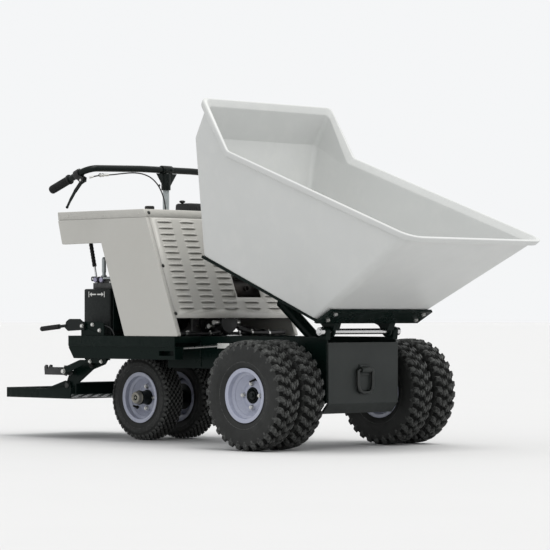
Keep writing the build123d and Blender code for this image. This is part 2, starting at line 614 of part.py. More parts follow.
HINGE_X, HINGE_Z = PLATFORM_HINGE
PIN_R = 8.0
with BuildPart() as frame_bolts:
    lean_normal = Vector(slope_up.Z, 0, -slope_up.X)
    for y in (-343.0, 343.0):
        for v in (104.0, 330.0, 545.0):
            seat = Vector(HOOD_FOOT, y, 480) + slope_up * v
            bar(tuple(seat), tuple(seat + lean_normal * 4), 7.0)
    for y in (-HOOD_HALF - 3, HOOD_HALF):
        for x in (-800.0, -560.0, -320.0):
            bar((x, y, LID_BOTTOM + 14), (x, y + 3, LID_BOTTOM + 14), 6.5)
    # platform mount bolts, and the pins that the platform turns on
    for side in (-1, 1):
        face = side * (PLATFORM_HALF - 10)
        bar((-725, face, 342), (-725, face + side * 3, 342), 17.0)
        hexagon((-725, face + side * 3, 342), (-725, face + side * 13, 342), 13.0)
        start = side * (PLATFORM_HALF - 20)
        end = side * (PLATFORM_HALF + 5)
        bar((HINGE_X, start, HINGE_Z), (HINGE_X, end, HINGE_Z), PIN_R)
        bar((HINGE_X, side * (PLATFORM_HALF + 0.5), HINGE_Z), (HINGE_X, end, HINGE_Z), 14.0)
save(frame_bolts, "frame_bolts")


# ---------------------------------------------------------------- engine and pump
with BuildPart() as engine_block:
    block((-475, -266), (-120, 120), (DECK_TOP, DECK_TOP + 16))
    block((-465, -268), (-100, 100), (DECK_TOP + 16, 680))
    block((-440, -310), (-75, 75), (680, 850))
    for z in range(696, 846, 14):
        block((-452, -298), (-88, 88), (z, z + 5))
    block((-430, -330), (-60, 60), (850, 880))
save(engine_block, "engine_block")

with BuildPart() as engine_shroud:
    bar((-364, -186, 590), (-364, -102, 590), 96.0)
    bar((-364, -187, 590), (-364, -170, 590), 70.0, Mode.SUBTRACT)
    bar((-364, -196, 590), (-364, -165, 590), 30.0)
save(engine_shroud, "engine_shroud")

with BuildPart() as muffler:
    bar((-222, 70, 690), (-222, 300, 690), 44.0)
    bar((-262, 84, 740), (-226, 84, 712), 14.0)
    bar((-297, 84, 740), (-258, 84, 740), 14.0)
    bar((-222, 150, 690), (-168, 150, 690), 13.0)
save(muffler, "muffler")

with BuildPart() as fuel_tank:
    block((-498, -330), (-345, -95), (800, 975))
    fillet(fuel_tank.edges(), 14)
    bar((CAP_SPOT[0], CAP_SPOT[1], 970), (CAP_SPOT[0], CAP_SPOT[1], HOOD_TOP + 4), 22.0)
save(fuel_tank, "fuel_tank")

with BuildPart() as air_cleaner:
    block((-438, -338), (-50, 50), (880, HOOD_TOP + 26))
    fillet(air_cleaner.edges().filter_by(Axis.Z), 12)
    fillet(air_cleaner.edges().group_by(Axis.Z)[-1], 6)
    bar((-388, 0, HOOD_TOP + 26), (-388, 0, HOOD_TOP + 50), 9.0)
    block((-412, -364), (-4, 4), (HOOD_TOP + 34, HOOD_TOP + 50))
save(air_cleaner, "air_cleaner")

PUMP_Z = 540.0
with BuildPart() as hydraulic_pump:
    bar((-262, 0, PUMP_Z), (-232, 0, PUMP_Z), 62.0)
    bar((-232, 0, PUMP_Z), (-128, 0, PUMP_Z), 50.0)
    for y in (-30.0, 30.0):
        bar((-180, y, PUMP_Z - 60), (-180, y, PUMP_Z - 30), 13.0)
save(hydraulic_pump, "hydraulic_pump")

PUMP_SIDE = PUMP_Z - 20
hose_ends = [(-180, 51, PUMP_SIDE), (-180, 95, PUMP_SIDE), (-184, 142, PUMP_SIDE - 12),
             (-196, 190, PUMP_SIDE - 20), (-216, 236, PUMP_SIDE - 24), (-250, 272, PUMP_SIDE - 24)]
cable_points = [(-598, -352, 522), (-566, -350, 521), (-537, -348, 511), (-520, -348, 493),
                (-514, -348, DECK_TOP + 1)]
with BuildPart() as hoses:
    tube_along("pump hose", hose_ends, arc_radii(hose_ends), 11.0)
    bar((-180, 51, PUMP_SIDE), (-180, 76, PUMP_SIDE), 15.0)
    for route in motor_hose_routes:
        tube_along("motor hose", route, arc_radii(route), 9.0)
    tube_along("brake cable", cable_points, arc_radii(cable_points), 3.0)
    bar((-612, -352, 522), (-598, -352, 522), 6.0)
save(hoses, "hoses")


# ---------------------------------------------------------------- tank, valve and levers
TANK_SPAN = (-778.0, -596.0)
TANK_HALF = 300.0
TANK_TOP = 689.0
with BuildPart() as hydraulic_tank:
    block(TANK_SPAN, (-TANK_HALF, TANK_HALF), (DECK_TOP, TANK_TOP))
    fillet(hydraulic_tank.edges().filter_by(Axis.Z), 6)
    bar((-690, 120, TANK_TOP), (-690, 120, TANK_TOP + 12), 34.0)
save(hydraulic_tank, "hydraulic_tank")

with BuildPart() as filler_caps:
    bar((-690, 120, TANK_TOP + 12), (-690, 120, TANK_TOP + 42), 38.0)
    bar((CAP_SPOT[0], CAP_SPOT[1], HOOD_TOP + 4), (CAP_SPOT[0], CAP_SPOT[1], HOOD_TOP + 22), 29.0)
    for height in (TANK_TOP + 42, HOOD_TOP + 22):
        fillet(filler_caps.edges().filter_by_position(Axis.Z, height - 0.1, height + 0.1), 6)
save(filler_caps, "filler_caps")

VALVE_Y = -250.0
LEVER_PIN = (-745.0, 735.0)
with BuildPart() as control_valve:
    block((-735, -600), (VALVE_Y - 30, VALVE_Y + 30), (TANK_TOP, 716))
    block((-728, -612), (VALVE_Y - 24, VALVE_Y + 24), (716, 744))
    for y in (-24.0, 16.0):
        block((-757, -728), (VALVE_Y + y, VALVE_Y + y + 8), (724, 746))
    for x in (-712.0, -672.0):
        bar((x, VALVE_Y - 42, 730), (x, VALVE_Y - 20, 730), 12.5)
    bar((-694, VALVE_Y, 740), (-694, VALVE_Y, 835), 10.0)
    bar((LEVER_PIN[0], VALVE_Y - 26, LEVER_PIN[1]), (LEVER_PIN[0], VALVE_Y + 26, LEVER_PIN[1]),
        5 + RUNNING_GAP, Mode.SUBTRACT)
save(control_valve, "control_valve")

lever_top = (-800.0, VALVE_Y, 958.0)
with BuildPart() as dump_lever:
    bar((LEVER_PIN[0], VALVE_Y - 25, LEVER_PIN[1]), (LEVER_PIN[0], VALVE_Y + 25, LEVER_PIN[1]), 5.0)
    bar((LEVER_PIN[0], VALVE_Y - 10, LEVER_PIN[1]), (LEVER_PIN[0], VALVE_Y + 10, LEVER_PIN[1]), 9.0)
    bar((LEVER_PIN[0], VALVE_Y, LEVER_PIN[1]), lever_top, 5.0)
save(dump_lever, "dump_lever")

with BuildPart() as dump_lever_grip:
    grip_run = Vector(*lever_top) - Vector(LEVER_PIN[0], VALVE_Y, LEVER_PIN[1])
    grip_foot = Vector(LEVER_PIN[0], VALVE_Y, LEVER_PIN[1]) + grip_run * 0.26
    grip_head = Vector(LEVER_PIN[0], VALVE_Y, LEVER_PIN[1]) + grip_run * 1.02
    bar(tuple(grip_foot), tuple(grip_head), 10.0)
    fillet(dump_lever_grip.edges(), 3)
    bar(tuple(grip_foot - grip_run * 0.01), lever_top, 5.0, Mode.SUBTRACT)
save(dump_lever_grip, "dump_lever_grip")

BRAKE_PIN = (-700.0, 520.0)
with BuildPart() as brake_bracket:
    prism(side_plane(-360), [(-720, DECK_TOP), (-565, DECK_TOP), (-565, 532), (-600, 540),
                             (-715, 540), (-720, 530)], 6)
    block((-720, -565), (-366, -335), (DECK_TOP, DECK_TOP + 5))
    bar((BRAKE_PIN[0], -367, BRAKE_PIN[1]), (BRAKE_PIN[0], -359, BRAKE_PIN[1]), 6 + RUNNING_GAP,
        Mode.SUBTRACT)
save(brake_bracket, "brake_bracket")


def on_brake(distance):
    """Point on the brake lever's round handle, measured back from its root."""
    run = Vector(-178, 0, -16).normalized()
    return tuple(Vector(-806, -372.5, 522) + run * distance)


with BuildPart() as brake_lever:
    prism(side_plane(-368), [(-812, 540), (-790, 552), (-722, 552), (-688, 532), (-688, 502),
                             (-800, 497), (-822, 512)], 9)
    bar(on_brake(0), on_brake(178), 7.0)
    bar((BRAKE_PIN[0], -377, BRAKE_PIN[1]), (BRAKE_PIN[0], -354, BRAKE_PIN[1]), 6.0)
save(brake_lever, "brake_lever")

with BuildPart() as brake_grip:
    bar(on_brake(56), on_brake(186), 11.5)
    fillet(brake_grip.edges(), 4)
    bar(on_brake(55), on_brake(178), 7.0, Mode.SUBTRACT)
save(brake_grip, "brake_grip")

ROD_Y = -232.0
with BuildPart() as brake_rod:
    bar((-176, ROD_Y, 423), (50, ROD_Y, 434.7), 5.5)
    block((44, 120), (ROD_Y - 10, ROD_Y + 10), (424, 446))
    block((70, 121), (ROD_Y - 4, ROD_Y + 4), (423, 447), Mode.SUBTRACT)
    bar((106, ROD_Y - 13, 435), (106, ROD_Y + 11, 435), 5.0)
save(brake_rod, "brake_rod")


# ---------------------------------------------------------------- steering
KING_TOP = 500.0
with BuildPart() as rear_truck:
    block((REAR_X - 32, REAR_X + 32), (-46, 46), (REAR_TYRE_R - 34, REAR_TYRE_R + 34))
    bar((REAR_X, 0, REAR_TYRE_R + 30), (REAR_X, 0, 384), 30.0)
    bar((REAR_X, 0, 384), (REAR_X, 0, 404), 58.0)
    bar((REAR_X, 0, 400), (REAR_X, 0, KING_TOP), KING_R)
    # dead axle with its spacers against the wheel hubs
    axle_end = REAR_TRACK + 74
    bar((REAR_X, -axle_end, REAR_TYRE_R), (REAR_X, axle_end, REAR_TYRE_R), 12.5)
    spacer_end = REAR_TRACK - 25.4
    bar((REAR_X, -spacer_end, REAR_TYRE_R), (REAR_X, spacer_end, REAR_TYRE_R), 19.0)
save(rear_truck, "rear_truck")

with BuildPart() as steering_column:
    bar((REAR_X, 0, KING_TOP - 11), (REAR_X, 0, KING_TOP + 40), 27.0)
    bar((REAR_X, 0, KING_TOP - 12), (REAR_X, 0, KING_TOP), KING_R, Mode.SUBTRACT)
    bar((REAR_X, 0, KING_TOP + 38), (REAR_X, 0, BAR_Z - 22), BAR_R)
save(steering_column, "steering_column")

with BuildPart() as bar_bracket:
    block((REAR_X - 24, REAR_X + 24), (-28, 28), (BAR_Z - 90, BAR_Z + 20))
    fillet(bar_bracket.edges().filter_by(Axis.Z), 5)
    gusset = [(REAR_X + 24, BAR_Z - 90), (REAR_X + 48, BAR_Z - 10), (REAR_X + 24, BAR_Z - 2)]
    prism(side_plane(5), gusset, 10)
    bar((REAR_X, 0, BAR_Z - 91), (REAR_X, 0, BAR_Z - 22), BAR_R, Mode.SUBTRACT)
    bar((REAR_X, -29, BAR_Z), (REAR_X, 29, BAR_Z), BAR_R + 0.02, Mode.SUBTRACT)
save(bar_bracket, "bar_bracket")

GRIP_END = (-798.0, 1137.0)
bar_route = [(GRIP_END[0], -BAR_HALF, GRIP_END[1]), (REAR_X, -BAR_HALF, BAR_END_Z), (REAR_X, -160, BAR_Z),
             (REAR_X, 160, BAR_Z), (REAR_X, BAR_HALF, BAR_END_Z), (GRIP_END[0], BAR_HALF, GRIP_END[1])]
with BuildPart() as handlebar:
    tube_along("handlebar", bar_route, [52, 900, 900, 52], BAR_R, BAR_R - 2.5)
save(handlebar, "handlebar")

grip_run = Vector(REAR_X - GRIP_END[0], 0, BAR_END_Z - GRIP_END[1]).normalized()


def on_grip(distance, side, drop=0.0):
    """Point on the handlebar's rearward end, from the tip, optionally below it."""
    below = Vector(grip_run.Z, 0, -grip_run.X) * drop
    spot = Vector(GRIP_END[0], side * BAR_HALF, GRIP_END[1]) + grip_run * distance + below
    return tuple(spot)


with BuildPart() as grips:
    for side in (-1, 1):
        bar(on_grip(-4, side), on_grip(126, side), 18.5)
        for rib in range(6):
            bar(on_grip(10 + 18 * rib, side), on_grip(17 + 18 * rib, side), 20.0)
        bar(on_grip(126, side), on_grip(132, side), 23.0)
        bar(on_grip(0, side), on_grip(133, side), BAR_R, Mode.SUBTRACT)
save(grips, "grips")

LEVER_PIVOT = (-586.0, 1174.0)
with BuildPart() as lever_perches:
    for side in (-1, 1):
        y = side * BAR_HALF
        bar(on_grip(178, side), on_grip(208, side), 22.0)
        for offset_y in (-13.0, 7.0):
            prism(side_plane(y + offset_y + 6), [(-628, 1190), (-600, 1198), (-573, 1186), (-576, 1166),
                                                 (-594, 1163)], 6)
        bar(on_grip(150, side), on_grip(216, side), BAR_R + 0.02, Mode.SUBTRACT)
        bar((LEVER_PIVOT[0], y - 14, LEVER_PIVOT[1]), (LEVER_PIVOT[0], y + 14, LEVER_PIVOT[1]),
            4 + RUNNING_GAP, Mode.SUBTRACT)
save(lever_perches, "lever_perches")

for side, word in ((-1, "right"), (1, "left")):
    y = side * BAR_HALF
    with BuildPart() as hand_lever:
        prism(side_plane(y + 4), [(-576, 1181), (-576, 1166), (-594, 1160), (-648, 1106), (-691, 1050),
                                  (-703, 1058), (-660, 1116), (-604, 1172), (-588, 1184)], 8)
        bar((LEVER_PIVOT[0], y - 14, LEVER_PIVOT[1]), (LEVER_PIVOT[0], y + 14, LEVER_PIVOT[1]), 4.0)
        bar((-696, y, 1046), (-696, y, 1062), 7.0)
    save(hand_lever, f"hand_lever_{word}")

control_route = [(-541, -456, 1188), (-529, -412, 1197), (-523, -352, 1200), (-520, -292, 1208),
                 (-519, -232, 1214), (-519, -175, 1212), (-519, -122, 1198), (-520, -78, 1168),
                 (-521, -46, 1124), (-522, -28, 1072), (-523, -22, 1020)]
with BuildPart() as control_cable:
    tube_along("control cable", control_route, arc_radii(control_route), 3.0)
save(control_cable, "control_cable")


# ---------------------------------------------------------------- operator platform
PLATFORM_FLOOR = 184.0
RAIL_TOP = 230.0
with BuildPart() as platform_mount:
    for y in (-PLATFORM_HALF + 10, PLATFORM_HALF - 20):
        arm = [(-740, DECK_BOTTOM), (-620, DECK_BOTTOM), (-640, 345), (-720, 322), (-800, 272),
               (HINGE_X + 4, HINGE_Z - 22), (HINGE_X - 22, HINGE_Z), (HINGE_X + 2, HINGE_Z + 50),
               (-800, 350)]
        prism(side_plane(y + 10), arm, 10)
        lug_y = -323.0 if y < 0 else 286.0
        block((-740, -625), (lug_y - 5, lug_y + 42), (DECK_BOTTOM - 6, DECK_BOTTOM))
    block((-842, -834), (-PLATFORM_HALF + 10, PLATFORM_HALF - 10), (205, 262))
    block((-834, -800), (-PLATFORM_HALF + 10, PLATFORM_HALF - 10), (256, 262))
    bar((HINGE_X, -PLATFORM_HALF, HINGE_Z), (HINGE_X, PLATFORM_HALF, HINGE_Z), PIN_R, Mode.SUBTRACT)
save(platform_mount, "platform_mount")

rail_outline = [(PLATFORM_REAR, PLATFORM_FLOOR), (-868, PLATFORM_FLOOR), (-858, 230), (HINGE_X + 16, 262),
                (HINGE_X - 14, 268), (-1035, RAIL_TOP), (PLATFORM_REAR, RAIL_TOP)]
with BuildPart() as platform:
    for y in (-PLATFORM_HALF, PLATFORM_HALF - SHEET):
        prism(side_plane(y + SHEET), rail_outline, SHEET)
    block((PLATFORM_REAR, -860), (-PLATFORM_HALF, PLATFORM_HALF), (PLATFORM_FLOOR, PLATFORM_FLOOR + 5))
    block((PLATFORM_REAR, PLATFORM_REAR + 6), (-PLATFORM_HALF, PLATFORM_HALF), (PLATFORM_FLOOR, RAIL_TOP))
    bar((HINGE_X, -PLATFORM_HALF - 1, HINGE_Z), (HINGE_X, PLATFORM_HALF + 1, HINGE_Z),
        PIN_R + RUNNING_GAP, Mode.SUBTRACT)
save(platform, "platform")

PEDAL_Y = -331.0
PEDAL_PIN = (-852.0, 312.0)
teeth = []
for tooth in range(5):
    start = -868 - 22 * tooth
    teeth += [(start, 330), (start - 11, 325)]
pedal_outline = [(-838, 300), (-840, 334), (-856, 340), *teeth, (-975, 330), (-984, 341), (-1000, 330),
                 (-996, 294), (-862, 294), (-846, 290)]
with BuildPart() as foot_pedal:
    prism(side_plane(PEDAL_Y + 18), pedal_outline, 36)
    bar((PEDAL_PIN[0], PEDAL_Y - 20, PEDAL_PIN[1]), (PEDAL_PIN[0], PEDAL_Y + 20, PEDAL_PIN[1]),
        7 + RUNNING_GAP, Mode.SUBTRACT)
save(foot_pedal, "foot_pedal")

with BuildPart() as pedal_arm:
    prism(side_plane(-351), [(-866, 300), (-838, 300), (-700, 352), (-560, 352), (-560, 366), (-740, 366),
                             (-866, 326)], 6)
    bar((PEDAL_PIN[0], -357, PEDAL_PIN[1]), (PEDAL_PIN[0], PEDAL_Y + 19, PEDAL_PIN[1]), 7.0)
    block((-700, -560), (-357, -330), (366, DECK_BOTTOM))
save(pedal_arm, "pedal_arm")
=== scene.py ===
"""Looks of the power wheelbarrow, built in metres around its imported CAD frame.

Row frame: +X forward (the end that the tub tips over), +Y left, +Z up, origin on the ground.
Pieces are lathed, lofted, swept or bent in mesh code; CAD nodes that keep their shape are
given rounded edges by modifiers and a procedural material.
"""

import json
import math
import random
from collections import namedtuple
from itertools import product

import bmesh
import bpy
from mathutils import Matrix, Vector


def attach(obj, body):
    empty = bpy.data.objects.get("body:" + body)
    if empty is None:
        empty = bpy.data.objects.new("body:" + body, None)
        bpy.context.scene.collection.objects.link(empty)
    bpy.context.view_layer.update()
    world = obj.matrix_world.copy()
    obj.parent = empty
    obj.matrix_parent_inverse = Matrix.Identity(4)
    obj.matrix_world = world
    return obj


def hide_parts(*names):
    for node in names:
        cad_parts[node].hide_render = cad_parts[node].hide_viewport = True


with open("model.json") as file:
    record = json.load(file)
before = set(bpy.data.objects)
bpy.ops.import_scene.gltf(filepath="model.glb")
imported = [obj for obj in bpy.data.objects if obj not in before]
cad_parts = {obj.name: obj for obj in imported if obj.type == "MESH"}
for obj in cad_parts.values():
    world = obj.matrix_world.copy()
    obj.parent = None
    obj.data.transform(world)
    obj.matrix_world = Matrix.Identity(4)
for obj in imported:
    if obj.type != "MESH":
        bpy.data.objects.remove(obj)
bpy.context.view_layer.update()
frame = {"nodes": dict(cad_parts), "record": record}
BODY_OF = {member: body for body, members in frame["record"]["behaviour"]["bodies"].items()
           for member in members}
TAU = math.tau
FORWARD = Vector((1, 0, 0))
LEFT = Vector((0, 1, 0))
UP = Vector((0, 0, 1))
WASHER = 0.0018
random.seed(7)


# ---------------------------------------------------------------- outlines
def rounded_path(points, radii, closed=False, steps=5):
    """A polyline with each corner replaced by an arc-like curve of its radius."""
    points = [Vector(p) for p in points]
    count = len(points)
    if not isinstance(radii, (list, tuple)):
        radii = [radii] * count
    path = []
    for i, corner in enumerate(points):
        if not closed and i in (0, count - 1):
            path.append(corner)
            continue
        run_in = corner - points[i - 1]
        run_out = points[(i + 1) % count] - corner
        turn = run_in.angle(run_out, 0.0)
        reach = min(radii[i] * math.tan(turn / 2), 0.48 * run_in.length, 0.48 * run_out.length)
        start = corner - run_in.normalized() * reach
        end = corner + run_out.normalized() * reach
        pull = 1.0 - 0.5 * (1 - math.cos(turn / 2))
        for k in range(steps + 1):
            t = k / steps
            middle = 2 * t * (1 - t) * pull
            spot = start * (1 - t) ** 2 + end * t ** 2 + corner * middle
            path.append(spot / ((1 - t) ** 2 + t ** 2 + middle))
    return path


def flat_profile(profile, radius, steps, closed):
    """Round the corners of a (distance, radius) profile."""
    path = rounded_path([(a, r, 0) for a, r in profile], radius, closed, steps)
    return [(p.x, p.y) for p in path]


def mirrored(profile):
    """The same profile on the other side of its middle, in the opposite order."""
    return [(-along, radius) for along, radius in reversed(profile)]


def ribbing(first, pitch, count, rest, cut, steps):
    """Profile of a row of grooves or ribs: from the resting radius to the cut one and back."""
    return [(first + pitch * k + step, radius) for k in range(count)
            for step, radius in zip(steps, (rest, cut, cut, rest))]


def circle(centre, side, up, radius, count):
    """Points round a centre, in the plane of two unit vectors."""
    turns = [TAU * k / count for k in range(count)]
    return [centre + (side * math.cos(turn) + up * math.sin(turn)) * radius for turn in turns]


def level(z):
    """A function that places flat (X, Y) points at one height."""
    return lambda x, y: Vector((x, y, z))


def rounded_rectangle(x0, x1, y0, y1, radius, place, steps=3):
    """A closed loop round a rectangle; place turns its flat points into points in space."""
    corners = [(x0, y0, 0), (x1, y0, 0), (x1, y1, 0), (x0, y1, 0)]
    return [place(p.x, p.y) for p in rounded_path(corners, radius, closed=True, steps=steps)]


def inset_loop(outline, distance):
    """Move every edge of a clockwise (X, Z) outline inwards by a distance."""
    points = [Vector((x, z)) for x, z in outline]
    count = len(points)
    moved = []
    for i, corner in enumerate(points):
        run_in = (corner - points[i - 1]).normalized()
        run_out = (points[(i + 1) % count] - corner).normalized()
        normal_in = Vector((run_in.y, -run_in.x))
        normal_out = Vector((run_out.y, -run_out.x))
        turn = normal_in + normal_out
        moved.append(corner + turn * (distance / (1 + normal_in.dot(normal_out))))
    return [(p.x, p.y) for p in moved]


def bent_rings(loops, corner, bend, steps):
    """Rings that carry a sheet's face round a soft bend and down its flange."""
    radii = (0.002, corner, corner)
    walk = [rounded_path(loop, radius, True, 3) for loop, radius in zip(loops, radii)]
    columns = [rounded_path(column, [0, bend, 0], steps=steps) for column in zip(*walk)]
    return list(zip(*columns))


# ---------------------------------------------------------------- shapes
def loft(bm, rings, closed=True, cap_start=False, cap_end=False):
    """Join rings of equal length with quads; closed joins each ring's last point to its first."""
    rows = [[bm.verts.new(p) for p in ring] for ring in rings]
    count = len(rows[0])
    last = count if closed else count - 1
    for low, high in zip(rows, rows[1:]):
        for i in range(last):
            j = (i + 1) % count
            bm.faces.new((low[i], low[j], high[j], high[i]))
    if cap_start:
        bm.faces.new(list(reversed(rows[0])))
    if cap_end:
        bm.faces.new(rows[-1])
    return rows


def lathe(bm, centre, axis, profile, segments, closed=False, soft=0.0, steps=3):
    """Spin (distance, radius) points about an axis; a radius of nought closes the end.

    A closed profile is joined to its own start, and soft is the radius of its corners.
    """
    if soft:
        profile = flat_profile(profile, soft, steps, closed)
    centre = Vector(centre)
    axis = Vector(axis).normalized()
    side = axis.orthogonal().normalized()
    up = axis.cross(side)
    rows = []
    for along, radius in profile:
        spot = centre + axis * along
        points = circle(spot, side, up, radius, segments) if radius > 1e-7 else [spot]
        rows.append([bm.verts.new(p) for p in points])
    pairs = list(zip(rows, rows[1:]))
    if closed:
        pairs.append((rows[-1], rows[0]))
    for low, high in pairs:
        for i in range(segments):
            j = (i + 1) % segments
            if len(low) == 1 and len(high) > 1:
                bm.faces.new((low[0], high[j], high[i]))
            elif len(high) == 1 and len(low) > 1:
                bm.faces.new((low[i], low[j], high[0]))
            elif len(low) > 1:
                bm.faces.new((low[i], low[j], high[j], high[i]))


def turned(bm, start, end, radius, edge=0.0008, segments=40):
    """A solid round bar with softened ends."""
    start = Vector(start)
    run = Vector(end) - start
    edge = min(edge, radius / 3, run.length / 3)
    profile = [(0, 0), (0, radius - edge), (edge, radius), (run.length - edge, radius),
               (run.length, radius - edge), (run.length, 0)]
    lathe(bm, start, run, profile, segments)


def cross_bar(bm, centre, half, radius, edge=0.0008, segments=40):
    """A round bar that lies across the machine, centred on a point."""
    turned(bm, centre - LEFT * half, centre + LEFT * half, radius, edge, segments)


def hexagon_head(bm, seat, normal, across, height, washer=0.0, stud=0.0):
    """A chamfered hexagonal head or nut on its seat, with a washer and a stud end."""
    normal = Vector(normal).normalized()
    seat = Vector(seat)
    radius = across / 2 / math.cos(math.pi / 6)
    if washer:
        turned(bm, seat, seat + normal * WASHER, washer, 0.0004, 32)
        seat = seat + normal * WASHER
    side = normal.orthogonal().normalized()
    up = normal.cross(side)
    rings = [circle(seat + normal * height * share, side, up, radius * size, 6)
             for share, size in ((0.0, 0.93), (0.06, 1.0), (0.86, 1.0), (1.0, 0.88))]
    loft(bm, rings, cap_start=True, cap_end=True)
    if stud:
        turned(bm, seat + normal * height * 0.9, seat + normal * (height + stud), across * 0.29,
               segments=20)


def bolts(bm, seats, normal, across, height, washer=0.0):
    """The same hexagonal head on every seat."""
    for seat in seats:
        hexagon_head(bm, seat, normal, across, height, washer)


def sweep(bm, path, radius, segments=16, closed=False):
    """A round tube along a path; radius is one number or one per point."""
    path = [Vector(p) for p in path]
    count = len(path)
    radii = radius if isinstance(radius, (list, tuple)) else [radius] * count
    rings = []
    side = None
    for i, spot in enumerate(path):
        before = path[i - 1] if (i or closed) else spot
        after = path[(i + 1) % count] if (i < count - 1 or closed) else spot
        ahead = (after - before).normalized()
        if side is None:
            side = ahead.orthogonal().normalized()
        side = (side - ahead * side.dot(ahead)).normalized()
        rings.append(circle(spot, side, ahead.cross(side), radii[i], segments))
    if closed:
        rings.append(rings[0])
    loft(bm, rings, cap_start=not closed, cap_end=not closed)


def weld_bead(bm, start, end, radius, pitch=0.0048):
    """A rippled fillet weld along a straight joint."""
    start, end = Vector(start), Vector(end)
    run = end - start
    count = max(4, int(run.length / pitch) * 2)
    path = [start + run * (i / count) for i in range(count + 1)]
    sizes = [radius * (0.86 if i % 2 else 1.0) * random.uniform(0.94, 1.05) for i in range(count + 1)]
    sizes[0] = sizes[-1] = radius * 0.5
    sweep(bm, path, sizes, 8)


def fill(bm, loops):
    """Fill an outline with triangles, leaving its holes open."""
    edges = []
    for loop in loops:
        verts = [bm.verts.new(p) for p in loop]
        edges += [bm.edges.new(pair) for pair in zip(verts, verts[1:] + verts[:1])]
    return bmesh.ops.triangle_fill(bm, edges=edges, use_beauty=True)["geom"]


def plate(bm, outline, normal, thickness, holes=()):
    """A flat plate of any outline with holes, its thickness going along the normal."""
    faces = [g for g in fill(bm, (outline, *holes)) if isinstance(g, bmesh.types.BMFace)]
    grown = bmesh.ops.extrude_face_region(bm, geom=faces)["geom"]
    moved = [g for g in grown if isinstance(g, bmesh.types.BMVert)]
    bmesh.ops.translate(bm, verts=moved, vec=Vector(normal).normalized() * thickness)


def stacked(bm, x0, x1, half, radius, steps, levels):
    """A moulded box of rounded rectangles; levels are (height, growth on every side)."""
    rings = [rounded_rectangle(x0 - grow, x1 + grow, -half - grow, half + grow, radius, level(z), steps)
             for z, grow in levels]
    loft(bm, rings, cap_start=True, cap_end=True)


def box(bm, low, high):
    """A plain box between two corners, for pieces whose edges are bevelled afterwards."""
    low, high = Vector(low), Vector(high)
    corners = [Vector((x, y, z)) for x in (low.x, high.x) for y in (low.y, high.y)
               for z in (low.z, high.z)]
    v = [bm.verts.new(c) for c in corners]
    for a, b, c, d in ((0, 1, 3, 2), (4, 6, 7, 5), (0, 4, 5, 1), (2, 3, 7, 6), (0, 2, 6, 4),
                       (1, 5, 7, 3)):
        bm.faces.new((v[a], v[b], v[c], v[d]))


def side_prism(bm, outline, y_from, y_to):
    """A prism of an (X, Z) outline between two Y values."""
    near = [bm.verts.new((x, y_from, z)) for x, z in outline]
    far = [bm.verts.new((x, y_to, z)) for x, z in outline]
    bm.faces.new(near)
    bm.faces.new(list(reversed(far)))
    count = len(near)
    for i in range(count):
        j = (i + 1) % count
        bm.faces.new((near[j], near[i], far[i], far[j]))


def bevel_sharp(bm, width, segments):
    """Round every edge that turns sharply."""
    bm.normal_update()
    limit = math.radians(35)
    sharp = [e for e in bm.edges if len(e.link_faces) == 2 and e.calc_face_angle(0) > limit]
    bmesh.ops.bevel(bm, geom=sharp, offset=width, segments=segments, profile=0.6, affect="EDGES",
                    clamp_overlap=True, loop_slide=True)


def piece(name, bm, node, material, replaces=(), bevel=0.0, smooth=38, segments=2):
    """Turn mesh data into a piece that rides with a CAD node's body, hiding the nodes it replaces."""
    bmesh.ops.remove_doubles(bm, verts=bm.verts, dist=1e-6)
    bmesh.ops.recalc_face_normals(bm, faces=bm.faces)
    if bevel:
        bevel_sharp(bm, bevel, segments)
    mesh = bpy.data.meshes.new(name)
    bm.to_mesh(mesh)
    bm.free()
    for polygon in mesh.polygons:
        polygon.use_smooth = True
    mesh.set_sharp_from_angle(angle=math.radians(smooth))
    mesh.materials.append(material)
    made = bpy.data.objects.new(name, mesh)
    bpy.context.scene.collection.objects.link(made)
    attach(made, BODY_OF[node])
    if replaces:
        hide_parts(*replaces)
    return made


def thicken(made, thickness):
    """Give a sheet-metal piece its thickness with a modifier, growing inwards."""
    solid = made.modifiers.new("sheet", "SOLIDIFY")
    solid.thickness = thickness
    solid.offset = -1.0
    solid.use_even_offset = True


def dress(node, material, edge):
    """Keep a CAD node's own shape, with its material and softly rounded edges."""
    kept = frame["nodes"][node]
    for entry in kept.material_slots:
        entry.material = material
    if not kept.material_slots:
        kept.data.materials.append(material)
    if edge:
        weld = kept.modifiers.new("weld", "WELD")
        weld.merge_threshold = 2e-5
        soft = kept.modifiers.new("edges", "BEVEL")
        soft.width = edge
        soft.segments = 2
        soft.limit_method = "ANGLE"
        soft.angle_limit = math.radians(40)
        soft.use_clamp_overlap = False
        soft.harden_normals = False


